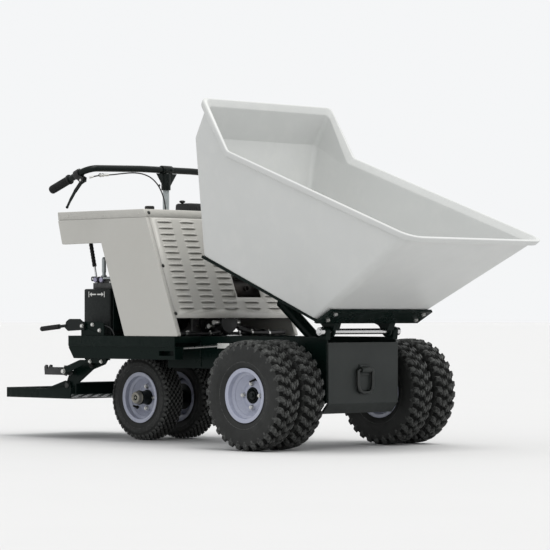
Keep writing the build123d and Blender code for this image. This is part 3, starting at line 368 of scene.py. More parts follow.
# ---------------------------------------------------------------- materials
class Surface:
    """A procedural material under construction: one shader, and noise in object space."""

    def __init__(self, name, colour, rough, metal=0.0, coat=0.0, specular=0.5):
        self.material = bpy.data.materials.new(name)
        self.material.use_nodes = True
        self.tree = self.material.node_tree
        self.shader = self.tree.nodes["Principled BSDF"]
        self.colour = (*colour, 1.0)
        self.shader.inputs["Base Color"].default_value = self.colour
        self.shader.inputs["Roughness"].default_value = rough
        self.shader.inputs["Metallic"].default_value = metal
        self.shader.inputs["Coat Weight"].default_value = coat
        self.shader.inputs["Coat Roughness"].default_value = 0.15
        self.shader.inputs["Specular IOR Level"].default_value = specular
        self.rough = rough
        self.place = self.add("ShaderNodeTexCoord").outputs["Object"]
        self.tint = None
        self.height = None

    def add(self, kind, **settings):
        """A new shader node with its settings."""
        node = self.tree.nodes.new(kind)
        for key, value in settings.items():
            setattr(node, key, value)
        return node

    def join(self, source, target):
        """Link one socket to another."""
        self.tree.links.new(source, target)

    def noise(self, scale, detail, rough, stretch=(1, 1, 1)):
        """Cloudy noise fixed to the object; stretch squeezes it along each axis."""
        place = self.place
        if stretch != (1, 1, 1):
            mapping = self.add("ShaderNodeMapping")
            mapping.inputs["Scale"].default_value = stretch
            self.join(place, mapping.inputs["Vector"])
            place = mapping.outputs["Vector"]
        node = self.add("ShaderNodeTexNoise")
        node.inputs["Scale"].default_value = scale
        node.inputs["Detail"].default_value = detail
        node.inputs["Roughness"].default_value = rough
        self.join(place, node.inputs["Vector"])
        return node.outputs["Fac"]

    def ramp(self, source, low, high, out_low=0.0, out_high=1.0):
        """Map a range of a value onto another range, held at its ends."""
        node = self.add("ShaderNodeMapRange")
        node.inputs["From Min"].default_value = low
        node.inputs["From Max"].default_value = high
        node.inputs["To Min"].default_value = out_low
        node.inputs["To Max"].default_value = out_high
        self.join(source, node.inputs["Value"])
        return node.outputs["Result"]

    def multiply(self, a, b):
        """The product of two values."""
        node = self.add("ShaderNodeMath", operation="MULTIPLY")
        self.join(a, node.inputs[0])
        self.join(b, node.inputs[1])
        return node.outputs["Value"]

    def blend(self, mask, colour):
        """Lay a second colour over what is there, where the mask is high."""
        node = self.add("ShaderNodeMix", data_type="RGBA")
        if self.tint is None:
            node.inputs["A"].default_value = self.colour
        else:
            self.join(self.tint, node.inputs["A"])
        node.inputs["B"].default_value = (*colour, 1.0)
        self.join(mask, node.inputs["Factor"])
        self.tint = node.outputs["Result"]
        return self

    def mottle(self, colour, scale, low, high, strength, stretch=(1, 1, 1)):
        """Uneven patches of a second colour."""
        mask = self.ramp(self.noise(scale, 5.0, 0.6, stretch), low, high, 0.0, strength)
        return self.blend(mask, colour)

    def worn_and_highlit_edges(self, colour, low, high, strength, scale=60.0):
        """A second colour on convex edges, broken up by noise: chipped or polished wear, and on the tyre's
        tread a painted highlight.
        """
        convex = self.ramp(self.add("ShaderNodeNewGeometry").outputs["Pointiness"], low, high)
        broken = self.ramp(self.noise(scale, 6.0, 0.7), 0.42, 0.6, 0.0, strength)
        return self.blend(self.multiply(convex, broken), colour)

    def dusty(self, vector, limits, colour, strength, scale):
        """Patches of dust that come and go with the Z of a vector, between limits."""
        split = self.add("ShaderNodeSeparateXYZ")
        self.join(vector, split.inputs["Vector"])
        depth = self.ramp(split.outputs["Z"], *limits)
        patch = self.ramp(self.noise(scale, 6.0, 0.65), 0.35, 0.7, 0.0, strength)
        return self.blend(self.multiply(depth, patch), colour)

    def dusty_low(self, colour, foot, head, strength):
        """Dust that gathers towards the ground."""
        return self.dusty(self.place, (foot, head, 1.0, 0.0), colour, strength, 14.0)

    def dusty_tops(self, colour, strength):
        """Dust that settles on faces that look up."""
        normal = self.add("ShaderNodeNewGeometry").outputs["Normal"]
        return self.dusty(normal, (0.3, 0.95), colour, strength, 18.0)

    def vary_rough(self, scale, spread, stretch=(1, 1, 1)):
        """Patches that are duller or glossier than the rest."""
        noise = self.noise(scale, 4.0, 0.6, stretch)
        self.join(self.ramp(noise, 0.3, 0.7, self.rough - spread, self.rough + spread),
                  self.shader.inputs["Roughness"])
        return self

    def grain(self, scale, strength, distance, stretch=(1, 1, 1)):
        """A layer of fine relief."""
        node = self.add("ShaderNodeBump")
        node.inputs["Strength"].default_value = strength
        node.inputs["Distance"].default_value = distance
        self.join(self.noise(scale, 3.0, 0.6, stretch), node.inputs["Height"])
        if self.height is not None:
            self.join(self.height, node.inputs["Normal"])
        self.height = node.outputs["Normal"]
        return self

    def done(self):
        """Wire the layers to the shader and hand over the material."""
        if self.tint is not None:
            self.join(self.tint, self.shader.inputs["Base Color"])
        if self.height is not None:
            self.join(self.height, self.shader.inputs["Normal"])
        return self.material


DUST = (0.20, 0.185, 0.155)


def grey(value):
    """A colour without a tint."""
    return (value, value, value)


def painted(name, colour, second, rough, dust, specular):
    """Sprayed enamel with faint orange peel, patchy gloss, chipped edges and settled dust."""
    surface = Surface(name, colour, rough, specular=specular)
    surface.mottle(second, 3.5, 0.35, 0.7, 0.7)
    surface.mottle(tuple(c * 0.8 for c in colour), 38.0, 0.55, 0.75, 0.5)
    surface.worn_and_highlit_edges((0.10, 0.105, 0.10), 0.55, 0.64, 0.35)
    surface.dusty_tops(DUST, dust)
    return surface.vary_rough(9.0, 0.09).grain(420.0, 0.12, 0.0003).grain(26.0, 0.05, 0.001).done()


def metal(name, colour, rough, second, stains):
    """Bare or plated metal with stains and uneven polish."""
    surface = Surface(name, colour, rough, metal=1.0)
    surface.mottle(second, 24.0, 0.4, 0.7, 0.6)
    surface.mottle((0.12, 0.10, 0.08), 70.0, 0.6, 0.78, stains)
    return surface.vary_rough(60.0, 0.1).grain(300.0, 0.15, 0.0002).done()


def make_materials():
    """Every finish of the machine, by a plain key."""
    made = {}
    made["frame"] = painted("frame_enamel", (0.0024, 0.0072, 0.0058), (0.0036, 0.0088, 0.0070), 0.30,
                            dust=0.03, specular=0.07)
    made["bumper"] = painted("bumper_enamel", (0.027, 0.031, 0.0295), (0.020, 0.024, 0.023), 0.46,
                             dust=0.2, specular=0.25)

    hood = Surface("hood_enamel", (0.462, 0.455, 0.425), 0.42, coat=0.12)
    hood.mottle((0.440, 0.433, 0.400), 2.2, 0.35, 0.7, 0.7)
    hood.mottle((0.485, 0.478, 0.450), 9.0, 0.5, 0.75, 0.4)
    hood.mottle((0.36, 0.34, 0.30), 46.0, 0.70, 0.82, 0.25)
    hood.worn_and_highlit_edges((0.58, 0.57, 0.53), 0.54, 0.62, 0.4).dusty_tops((0.42, 0.39, 0.33), 0.22)
    made["hood"] = hood.vary_rough(12.0, 0.08).grain(520.0, 0.16, 0.0003).grain(16.0, 0.04, 0.0015).done()

    tub = Surface("tub_polyethylene", (0.585, 0.595, 0.585), 0.43)
    tub.mottle((0.555, 0.565, 0.555), 2.6, 0.35, 0.7, 0.8)
    tub.mottle((0.62, 0.625, 0.61), 11.0, 0.5, 0.75, 0.5)
    tub.mottle((0.49, 0.49, 0.465), 30.0, 0.64, 0.8, 0.22, (1, 1, 0.3))
    tub.worn_and_highlit_edges((0.68, 0.68, 0.67), 0.52, 0.6, 0.5, 20.0)
    tub.shader.inputs["Sheen Weight"].default_value = 0.05
    made["tub"] = tub.vary_rough(7.0, 0.07).grain(300.0, 0.16, 0.0004).grain(9.0, 0.06, 0.004).done()

    tyre = Surface("tyre_rubber", (0.0118, 0.0126, 0.0121), 0.62, specular=0.32)
    tyre.mottle((0.0190, 0.0203, 0.0194), 7.0, 0.35, 0.7, 0.8)
    tyre.mottle((0.008, 0.0086, 0.0084), 60.0, 0.5, 0.75, 0.6)
    # painted highlight: the tread's edges are lightened where they would catch the light
    tyre.worn_and_highlit_edges((0.085, 0.088, 0.084), 0.51, 0.58, 0.9, 90.0)
    tyre.dusty_low((0.035, 0.034, 0.030), 0.0, 0.3, 0.3)
    made["tyre"] = tyre.vary_rough(20.0, 0.1).grain(260.0, 0.3, 0.0005).grain(40.0, 0.1, 0.001).done()

    # painted shade: a darker rubber for the groove floors between the tread blocks
    groove = Surface("groove_painted_shade", (0.0035, 0.0038, 0.0036), 0.8, specular=0.15)
    groove.mottle((0.006, 0.0062, 0.0058), 30.0, 0.4, 0.7, 0.8)
    made["groove"] = groove.vary_rough(30.0, 0.08).grain(300.0, 0.3, 0.0004).done()

    rim = Surface("rim_enamel", (0.355, 0.375, 0.465), 0.3, coat=0.35)
    rim.mottle((0.31, 0.33, 0.42), 5.0, 0.35, 0.7, 0.7)
    rim.mottle((0.40, 0.42, 0.50), 20.0, 0.5, 0.75, 0.5)
    rim.mottle((0.13, 0.12, 0.11), 110.0, 0.67, 0.8, 0.45)
    rim.worn_and_highlit_edges((0.16, 0.16, 0.17), 0.55, 0.64, 0.35)
    made["rim"] = rim.vary_rough(15.0, 0.07).grain(380.0, 0.14, 0.0003).done()

    made["black"] = painted("black_enamel", (0.0048, 0.0075, 0.0070), (0.0075, 0.0105, 0.0098), 0.34,
                            dust=0.06, specular=0.15)
    made["steel"] = metal("bright_steel", grey(0.60), 0.24, grey(0.52), stains=0.12)
    made["zinc"] = metal("zinc_plate", (0.62, 0.62, 0.60), 0.33, (0.50, 0.50, 0.47), stains=0.5)
    made["ring"] = metal("worn_ring", (0.055, 0.058, 0.056), 0.38, (0.03, 0.032, 0.031), stains=0.5)

    cast = Surface("painted_casting", (0.018, 0.0195, 0.0195), 0.55, metal=0.2)
    cast.mottle((0.032, 0.033, 0.032), 12.0, 0.4, 0.7, 0.7)
    cast.worn_and_highlit_edges((0.14, 0.14, 0.135), 0.53, 0.62, 0.5)
    cast.dusty_tops(DUST, 0.08)
    made["cast"] = cast.vary_rough(24.0, 0.1).grain(240.0, 0.35, 0.0006).done()

    alloy = Surface("cast_aluminium", grey(0.30), 0.5, metal=0.85)
    alloy.mottle((0.17, 0.165, 0.155), 14.0, 0.4, 0.7, 0.8)
    alloy.mottle((0.06, 0.05, 0.04), 40.0, 0.58, 0.75, 0.6)
    made["alloy"] = alloy.vary_rough(30.0, 0.1).grain(320.0, 0.4, 0.0005).done()

    plastic = Surface("black_plastic", (0.0085, 0.0088, 0.0090), 0.48, specular=0.3)
    plastic.mottle((0.013, 0.0134, 0.0136), 8.0, 0.4, 0.7, 0.7)
    plastic.worn_and_highlit_edges(grey(0.06), 0.53, 0.62, 0.4)
    plastic.dusty_tops(DUST, 0.03)
    made["plastic"] = plastic.vary_rough(18.0, 0.08).grain(700.0, 0.25, 0.0003).done()

    grip = Surface("grip_rubber", grey(0.0065), 0.66, specular=0.25)
    grip.mottle((0.010, 0.010, 0.0096), 30.0, 0.4, 0.7, 0.8)
    grip.worn_and_highlit_edges(grey(0.03), 0.52, 0.6, 0.5)
    made["grip"] = grip.vary_rough(40.0, 0.08).grain(900.0, 0.3, 0.0003).done()

    hose = Surface("hose_rubber", (0.012, 0.012, 0.0125), 0.5)
    hose.mottle(grey(0.02), 22.0, 0.4, 0.7, 0.7)
    made["hose"] = hose.vary_rough(40.0, 0.08).grain(500.0, 0.3, 0.0003, stretch=(1, 1, 4)).done()

    column = Surface("column_enamel", (0.34, 0.37, 0.375), 0.32, metal=0.3, coat=0.2)
    column.mottle((0.27, 0.30, 0.305), 12.0, 0.4, 0.7, 0.8, (1, 1, 0.2))
    column.mottle((0.08, 0.08, 0.075), 60.0, 0.62, 0.8, 0.5)
    made["column"] = column.vary_rough(30.0, 0.08, (1, 1, 0.1)).grain(420.0, 0.12, 0.0002).done()

    cap = Surface("hub_cap", (0.30, 0.29, 0.255), 0.42, metal=0.6)
    cap.mottle((0.20, 0.19, 0.16), 30.0, 0.4, 0.7, 0.8)
    cap.mottle((0.07, 0.06, 0.05), 70.0, 0.58, 0.75, 0.6)
    made["cap"] = cap.vary_rough(40.0, 0.08).grain(300.0, 0.25, 0.0003).done()

    knob = Surface("valve_knob", (0.33, 0.32, 0.42), 0.3, metal=0.8)
    knob.mottle((0.24, 0.23, 0.32), 40.0, 0.4, 0.7, 0.7)
    made["knob"] = knob.vary_rough(40.0, 0.08).grain(400.0, 0.12, 0.0002).done()

    mark = Surface("arrow_mark", (0.62, 0.62, 0.60), 0.5)
    mark.mottle((0.48, 0.48, 0.46), 60.0, 0.45, 0.7, 0.7)
    made["mark"] = mark.vary_rough(50.0, 0.06).grain(500.0, 0.1, 0.0002).done()

    exhaust = Surface("heat_stained_steel", (0.035, 0.032, 0.030), 0.6, metal=0.5)
    exhaust.mottle((0.045, 0.030, 0.022), 10.0, 0.4, 0.7, 0.8)
    exhaust.mottle((0.07, 0.066, 0.062), 30.0, 0.55, 0.75, 0.5)
    made["exhaust"] = exhaust.vary_rough(20.0, 0.1).grain(260.0, 0.3, 0.0004).done()
    return made


LOOK = make_materials()


# ---------------------------------------------------------------- nodes that keep their CAD shape
# by finish: each node with the width of its rounded edges, or nought where it has none
KEPT_NODES = {
    "frame": {"rear_deck": 0.0014, "main_frame": 0.0014, "pivot_bearings": 0.0014, "platform_mount": 0.0014,
              "brake_bracket": 0.0014, "pedal_arm": 0.0012, "tub_frame": 0.0013, "hood_bulkhead": 0.0008,
              "rear_truck": 0.0014, "platform": 0.0012},
    "bumper": {"bumper_plate": 0.0016},
    "cast": {"column_bearing": 0.001, "drive_motors": 0.0012, "hydraulic_pump": 0.0012},
    "alloy": {"belly_manifold": 0.0015},
    "hose": {"hoses": 0.0, "control_cable": 0.0},
    "plastic": {"fuel_tank": 0.0, "lever_perches": 0.0012},
    "column": {"steering_column": 0.0008},
    "black": {"brake_lever": 0.0008, "handlebar": 0.0},
    "zinc": {"brake_rod": 0.0005},
}
for finish, nodes in KEPT_NODES.items():
    for node, edge in nodes.items():
        dress(node, LOOK[finish], edge)


# ---------------------------------------------------------------- camera, light and floor
def aimed(name, data, towards):
    """Put a light or camera in the scene, looking along a direction."""
    made = bpy.data.objects.new(name, data)
    made.rotation_mode = "QUATERNION"
    made.rotation_quaternion = Vector(towards).to_track_quat("-Z", "Y")
    bpy.context.scene.collection.objects.link(made)
    return made


def make_stage():
    """A pale floor out to the horizon, even sky light, one soft key and the camera."""
    floor_reach = 150.0
    corners = [(x * floor_reach, y * floor_reach, 0) for x, y in ((-1, -1), (1, -1), (1, 1), (-1, 1))]
    floor_mesh = bpy.data.meshes.new("floor")
    floor_mesh.from_pydata(corners, [], [(0, 1, 2, 3)])
    floor = bpy.data.objects.new("floor", floor_mesh)
    bpy.context.scene.collection.objects.link(floor)
    pale = Surface("floor_pale", grey(0.61), 0.85, specular=0.1)
    floor_mesh.materials.append(pale.mottle(grey(0.60), 1.3, 0.35, 0.7, 0.6).done())

    world = bpy.data.worlds.new("studio")
    world.use_nodes = True
    background = world.node_tree.nodes["Background"]
    background.inputs["Color"].default_value = (0.98, 0.99, 1.0, 1.0)
    background.inputs["Strength"].default_value = 0.93
    bpy.context.scene.world = world

    # one very soft distant key from ahead and above, so the floor stays even to the horizon
    lamp = bpy.data.lights.new("key", "SUN")
    lamp.angle = math.radians(35)
    lamp.energy = 2.0
    lamp.color = (1.0, 0.985, 0.96)
    aimed("key", lamp, (-0.50, -0.05, -1.0))

    lens = bpy.data.cameras.new("camera")
    lens.lens = 175.7
    lens.sensor_width = 36.0
    lens.shift_y = 0.0728
    lens.clip_end = 400.0
    camera = aimed("camera", lens, (-0.7059, 0.7083, 0))
    camera.location = (8.515, -8.384, 0.5695)
    bpy.context.scene.camera = camera
    bpy.context.scene.view_settings.view_transform = "Standard"


make_stage()


# ---------------------------------------------------------------- wheels
FRONT_AXLE = Vector((0.514, 0.0, 0.233))
REAR_AXLE = Vector((-0.548, 0.0, 0.194))
DUALS = (0.339, 0.489)
REAR_WHEEL_Y = 0.115
BEAD = 0.116
LUG_CIRCLE = 0.050
LUG_TURNS = [math.radians(90 * k) for k in range(4)]
Tyre = namedtuple("Tyre", "side half outer depth")


def about(centre, turn, radius, lateral=0.0):
    """A point round a wheel's centre, at an angle up from forward, and out along its axle."""
    return centre + Vector((math.cos(turn) * radius, lateral, math.sin(turn) * radius))


def tread_radius(tyre, lateral):
    """Radius of the tread's surface: a gently crowned top that rolls over the shoulder."""
    share = abs(lateral) / tyre.half
    shoulder = max(0.0, share - 0.78) ** 1.6 * 0.17 * tyre.outer / 0.233
    return tyre.outer - 0.0035 * share ** 2 - shoulder


def tyre_profile(tyre):
    """Closed section of the carcass, from bead to bead and back through the inside."""
    half, outer = tyre.half, tyre.outer
    crown = []
    for k in range(-6, 7):
        lateral = half * 0.9 * k / 6
        crown.append((lateral, tread_radius(tyre, lateral) - tyre.depth))
    bulge = BEAD + 0.42 * (outer - BEAD)
    wall = [(half * 0.985, outer - 0.034), (half, bulge + 0.012), (half, bulge - 0.006),
            (half * 0.93, 0.135), (half * 0.83, 0.122), (0.0452, 0.1175), (0.0437, 0.1035)]
    inner = [(0.036, 0.1035), (0.037, 0.121), (half - 0.010, bulge), (half - 0.014, outer - 0.036),
             (half - 0.026, outer - 0.024)]
    return mirrored(wall) + crown + wall + inner + mirrored(inner)


def tread_block(bm, centre, tyre, stations, widths):
    """One raised block; stations are (lateral, angle) along its middle, widths are angles."""
    rows = []
    for (lateral, angle), width in zip(stations, widths):
        crest = tread_radius(tyre, lateral)
        flank = [(0.38, crest), (0.46, crest - 0.0012), (0.62, crest - tyre.depth - 0.002)]
        rows.append([about(centre, angle + shift * width, radius, tyre.side * lateral)
                     for shift, radius in mirrored(flank) + flank])
    loft(bm, rows, closed=False)
    for row in (rows[0], rows[-1]):
        bm.faces.new([bm.verts.new(p) for p in row])


def shoulder_rib(bm, centre, tyre, hand, angle, width):
    """A tapering rib below each shoulder lug, on the upper side wall."""
    rows = []
    for inset, bulge, size in ((0.012, 0.93, 1.0), (0.026, 0.985, 0.9), (0.040, 0.992, 0.7)):
        rows.append([about(centre, angle + shift * width * size, tyre.outer - inset,
                           tyre.side * hand * (tyre.half * bulge + proud))
                     for shift, proud in ((-0.5, -0.003), (-0.36, 0.0), (0.36, 0.0), (0.5, -0.003))])
    loft(bm, rows, closed=False)
    bm.faces.new([bm.verts.new(p) for p in rows[-1]])


def zigzag_tread(bm, centre, tyre):
    """Staggered Z-shaped bars on the crown with long shoulder lugs that run down the wall."""
    pitches = 30
    step = TAU / pitches
    bar = (((0.0015, 0.0), (0.010, 0.30), (0.019, 0.02), (0.030, 0.34)), (0.42, 0.42, 0.42, 0.42))
    lug = (((0.0345, 0.20), (0.043, 0.46), (0.051, 0.50), (0.0565, 0.50)), (0.44, 0.50, 0.52, 0.50))
    for k, hand in product(range(pitches), (-1, 1)):
        base = k * step + 0.25 * step * hand
        for places, widths in (bar, lug):
            stations = [(hand * lateral, base + turn * step) for lateral, turn in places]
            tread_block(bm, centre, tyre, stations, [width * step for width in widths])
        shoulder_rib(bm, centre, tyre, hand, base + 0.5 * step, 0.42 * step)


def knob_tread(bm, centre, tyre):
    """Small staggered studs in nine rows."""
    pitches = 44
    step = TAU / pitches
    for row, lateral in enumerate((-0.047, -0.036, -0.024, -0.012, 0.0, 0.012, 0.024, 0.036, 0.047)):
        reach = 0.0040 if abs(lateral) < 0.04 else 0.0055
        for k in range(pitches):
            angle = (k + 0.5 * (row % 2)) * step
            stations = [(lateral - reach, angle), (lateral, angle + 0.04 * step), (lateral + reach, angle)]
            tread_block(bm, centre, tyre, stations, [0.40 * step, 0.62 * step, 0.40 * step])


def make_tyre(name, node, centres, tyre, tread):
    """Carcasses with moulding rings on their walls, and the blocks of their tread."""
    half, outer = tyre.half, tyre.outer
    axle = LEFT * tyre.side
    bm = bmesh.new()
    for centre in centres:
        lathe(bm, centre, axle, tyre_profile(tyre), 120, closed=True, soft=0.004, steps=2)
        for hand in (-1, 1):
            for radius, lateral in ((0.141, half * 0.957), (outer - 0.052, half)):
                foot, crest = hand * (lateral - 0.003), hand * (lateral - 0.0002)
                ring = [(foot, radius - 0.0022), (crest, radius - 0.001), (crest, radius + 0.001),
                        (foot, radius + 0.0022)]
                lathe(bm, centre, axle, ring, 120, closed=True)
    # the crown between the tread blocks takes the darker groove material: painted shade in the grooves
    for face in bm.faces:
        middle = face.calc_center_median()
        reach = min(math.hypot(middle.x - c.x, middle.z - c.z) for c in centres)
        face.material_index = 1 if reach > outer - tyre.depth - 0.012 else 0
    for centre in centres:
        tread(bm, centre, tyre)
    made = piece(name, bm, node, LOOK["tyre"], [node], smooth=32)
    made.data.materials.append(LOOK["groove"])


def make_rim(name, node, centres, side, stem_angle):
    """Drop-centre rims with a dished disc, lug holes, a centre hole and a rubber valve stem."""
    axle = LEFT * side
    outside = [(0.017, 0.088), (0.024, 0.1005), (0.0438, 0.102), (0.0462, 0.1155), (0.050, 0.1155),
               (0.0485, 0.112)]
    inside = [(0.0475, 0.0985), (0.0265, 0.097), (0.0195, 0.085)]
    drum = mirrored(outside) + outside + inside + mirrored(inside)
    disc = [(0.0185, 0.0862), (0.0145, 0.083), (-0.001, 0.066), (-0.0035, 0.060), (0.0, 0.047),
            (0.0, 0.0345), (-0.005, 0.0345), (-0.005, 0.047), (-0.0085, 0.060), (-0.0055, 0.069),
            (0.010, 0.0855)]
    pressed_cone = [(-0.0005, 0.0135), (0.0016, 0.0115), (0.0016, 0.0065), (-0.0005, 0.0065)]
    stem = [(0, 0), (0, 0.008), (0.004, 0.0078), (0.007, 0.0052), (0.026, 0.0046), (0.027, 0.0040),
            (0.036, 0.0040), (0.037, 0.0034), (0.037, 0)]
    bm = bmesh.new()
    stems = bmesh.new()
    for centre in centres:
        lathe(bm, centre, axle, drum, 96, closed=True, soft=0.0018)
        lathe(bm, centre, axle, disc, 96, closed=True, soft=0.003)
        for turn in LUG_TURNS:
            lathe(bm, about(centre, turn, LUG_CIRCLE), axle, pressed_cone, 32, closed=True)
        aim = about(Vector(), stem_angle, 1.0)
        lathe(stems, centre + aim * 0.076 + axle * 0.007, axle * 0.94 - aim * 0.34, stem, 24)
    piece(name, bm, node, LOOK["rim"], [node])
    piece(name + "_valve_stems", stems, node, LOOK["grip"])


def make_lug_nuts(name, node, centres, side):
    """A coned collar and a nut on each wheel stud."""
    axle = LEFT * side
    bm = bmesh.new()
    for centre, turn in product(centres, LUG_TURNS):
        seat = about(centre, turn, LUG_CIRCLE, side * 0.0017)
        lathe(bm, seat, axle, [(0, 0), (0, 0.0105), (0.0015, 0.0105), (0.004, 0.0088), (0.004, 0)], 32)
        hexagon_head(bm, seat + axle * 0.003, axle, 0.0165, 0.0085, stud=0.004)
    piece(name, bm, node, LOOK["zinc"])


def make_front_hub(centres, side, word):
    """A long spacer hub with a flange for each dual wheel, and the recessed axle nut."""
    inner = DUALS[0]
    spacer = [(0.150 - inner, 0), (0.150 - inner, 0.0175), (0.223 - inner, 0.0175), (0.223 - inner, 0.024),
              (-0.013, 0.026), (-0.013, 0.060), (-0.0052, 0.060), (-0.0052, 0.032), (0.0001, 0.032),
              (0.0001, 0.060), (0.008, 0.060), (0.008, 0.044), (0.137, 0.044), (0.137, 0.060),
              (0.1448, 0.060), (0.1448, 0.032), (0.154, 0.0315), (0.156, 0.029), (0.151, 0.026),
              (0.140, 0.016), (0.140, 0)]
    bm = bmesh.new()
    lathe(bm, centres[0], LEFT * side, spacer, 72, soft=0.0008, steps=2)
    hexagon_head(bm, centres[1] - LEFT * side * 0.010, LEFT * side, 0.034, 0.014, stud=0.006)
    piece(f"front_hub_{word}_turned", bm, f"front_hub_{word}", LOOK["black"],
          [f"front_hub_{word}"])


def make_rear_hub(centre, side, word):
    """A flanged barrel with its dished dust cap."""
    barrel = [(-0.025, 0.0126), (-0.025, 0.033), (-0.013, 0.033), (-0.013, 0.060), (-0.0052, 0.060),
              (-0.0052, 0.0335), (0.006, 0.0335), (0.012, 0.030), (0.044, 0.030), (0.047, 0.0325),
              (0.052, 0.0325), (0.052, 0.026), (0.052, 0.0126)]
    bm = bmesh.new()
    lathe(bm, centre, LEFT * side, barrel, 72, soft=0.001, steps=2)
    piece(f"rear_hub_{word}_turned", bm, f"rear_hub_{word}", LOOK["black"],
          [f"rear_hub_{word}"])
    cap = [(0.050, 0.027), (0.053, 0.0295), (0.056, 0.0295), (0.0575, 0.0275), (0.072, 0.0272),
           (0.0755, 0.0255), (0.077, 0.022), (0.077, 0.0165), (0.0735, 0.0145), (0.0735, 0.006),
           (0.0755, 0.0045), (0.0755, 0)]
    bm = bmesh.new()
    lathe(bm, centre, LEFT * side, cap, 64, soft=0.0012)
    piece(f"rear_dust_cap_{word}", bm, f"rear_hub_{word}", LOOK["cap"])


def make_wheels():
    """Dual front wheels and a single rear wheel on each side."""
    for side, word in ((-1, "right"), (1, "left")):
        front = [FRONT_AXLE + LEFT * side * y for y in DUALS]
        rear = [REAR_AXLE + LEFT * side * REAR_WHEEL_Y]
        make_tyre(f"front_tyres_{word}_treaded", f"front_tyres_{word}", front,
                  Tyre(side, 0.059, 0.233, 0.0115), zigzag_tread)
        make_tyre(f"rear_tyre_{word}_treaded", f"rear_tyre_{word}", rear, Tyre(side, 0.053, 0.194, 0.006),
                  knob_tread)
        make_rim(f"front_rims_{word}_pressed", f"front_rims_{word}", front, side, math.radians(66))
        make_rim(f"rear_rim_{word}_pressed", f"rear_rim_{word}", rear, side, math.radians(218))
        make_front_hub(front, side, word)
        make_lug_nuts(f"front_lug_nuts_{word}", f"front_hub_{word}", front, side)
        make_rear_hub(rear[0], side, word)
        make_lug_nuts(f"rear_lug_nuts_{word}", f"rear_hub_{word}", rear, side)


make_wheels()


# ---------------------------------------------------------------- tub
PIVOT = Vector((0.6676, 0.0, 0.500))
TILT = math.radians(21.9)
TUB_REAR = -0.960
TUB_LENGTH = 1.5
TUB_BOTTOM = 0.032
TUB_DEPTH = 0.564
REAR_HALVES = (0.294, 0.386)     # half widths at the bottom and at the rim
FRONT_HALVES = (0.308, 0.412)


def raised(u, y, v):
    """A point of the tub's level axes (origin on the pivot) where the raised tub holds it."""
    return Vector((PIVOT.x + u * math.cos(TILT) + v * math.sin(TILT), y,
                   PIVOT.z - u * math.sin(TILT) + v * math.cos(TILT)))


def tub_half(u, v):
    """Half width of the tub's outer walls at a place in its level axes."""
    forward = (u - TUB_REAR) / TUB_LENGTH
    upward = min(1.0, max(0.0, (v - TUB_BOTTOM) / TUB_DEPTH))
    rear, front = (low + (high - low) * upward for low, high in (REAR_HALVES, FRONT_HALVES))
    return rear + (front - rear) * forward


def tub_ring(corners, grow, radii):
    """A closed loop of the six corner stations, left front to left step, walls moved out by grow."""
    loop = []
    for side, (u, v) in zip((1, -1, -1, -1, 1, 1), corners):
        loop.append(raised(u, side * (tub_half(u, v) + grow), v))
    return rounded_path(loop, radii, closed=True, steps=7)


def make_tub():
    """A rotomoulded shell: outer walls, rolled rim and inner walls lofted as one closed skin."""
    wall = 0.010
    lip = 0.018

    def stations(front, step, back, grow=0.0, front_radius=0.030):
        """One loop of the skin from its (u, v) at the front, the step and the back."""
        corners = [front, front, step, back, back, step]
        return tub_ring(corners, grow, [front_radius, front_radius, 0.045, 0.026, 0.026, 0.045])

    walk = [
        stations((-0.020, 0.062), (-0.56, 0.062), (-0.690, 0.062), -0.045),
        stations((0.022, 0.062), (-0.60, 0.062), (-0.733, 0.062)),
        stations((0.435, 0.554), (-0.700, 0.520), (-0.900, 0.548), 0.0, 0.055),
        stations((0.458, 0.5805), (-0.667, 0.5405), (-0.8762, 0.700), 0.0, 0.060),
        stations((0.4805, 0.581), (-0.668, 0.5405), (-0.8940, 0.7015), lip, 0.080),
        stations((0.4970, 0.6085), (-0.658, 0.5680), (-0.890, 0.7305), lip, 0.080),
        stations((0.4790, 0.6080), (-0.6595, 0.5680), (-0.8765, 0.7303), 0.003, 0.070),
        stations((0.4400, 0.5770), (-0.6720, 0.5390), (-0.8664, 0.6990), -wall, 0.055),
        stations((0.426, 0.561), (-0.697, 0.525), (-0.8885, 0.549), -wall, 0.050),
        stations((0.0135, 0.072), (-0.60, 0.072), (-0.7265, 0.072), -wall),
        stations((-0.030, 0.072), (-0.56, 0.072), (-0.680, 0.072), -0.055),
    ]
    radii = [0, 0.016, 0.030, 0.006, 0.008, 0.010, 0.008, 0.012, 0.010, 0.030, 0]
    columns = [rounded_path(column, radii, steps=4) for column in zip(*walk)]
    bm = bmesh.new()
    loft(bm, list(zip(*columns)), cap_start=True, cap_end=True)
    piece("tub_shell", bm, "tub", LOOK["tub"], ["tub"], smooth=60)


make_tub()


# ---------------------------------------------------------------- hood
DECK_TOP = 0.476
HOOD_REAR = -0.875
HOOD_FOOT = -0.066
HOOD_NOSE = -0.286
HOOD_TOP = 1.040
HOOD_HALF = 0.377
LID_BOTTOM = 1.004
SLOPE_FOOT = 0.480
SHEET = 0.0028
LOUVRED_SHEET = 0.0026
LEAN = (HOOD_FOOT - HOOD_NOSE) / (HOOD_TOP - SLOPE_FOOT)
SLOPE_UP = Vector((-LEAN, 0, 1)).normalized()
NOSE_OUT = Vector((SLOPE_UP.z, 0, -SLOPE_UP.x))


def nose_x(z):
    """X of the leaning front at a height."""
    return HOOD_FOOT - (z - SLOPE_FOOT) * LEAN


def on_nose(y, v, out=0.0):
    """A point on the leaning front: y across, v up the slope, out along its normal."""
    return Vector((HOOD_FOOT, y, SLOPE_FOOT)) + SLOPE_UP * v + NOSE_OUT * out


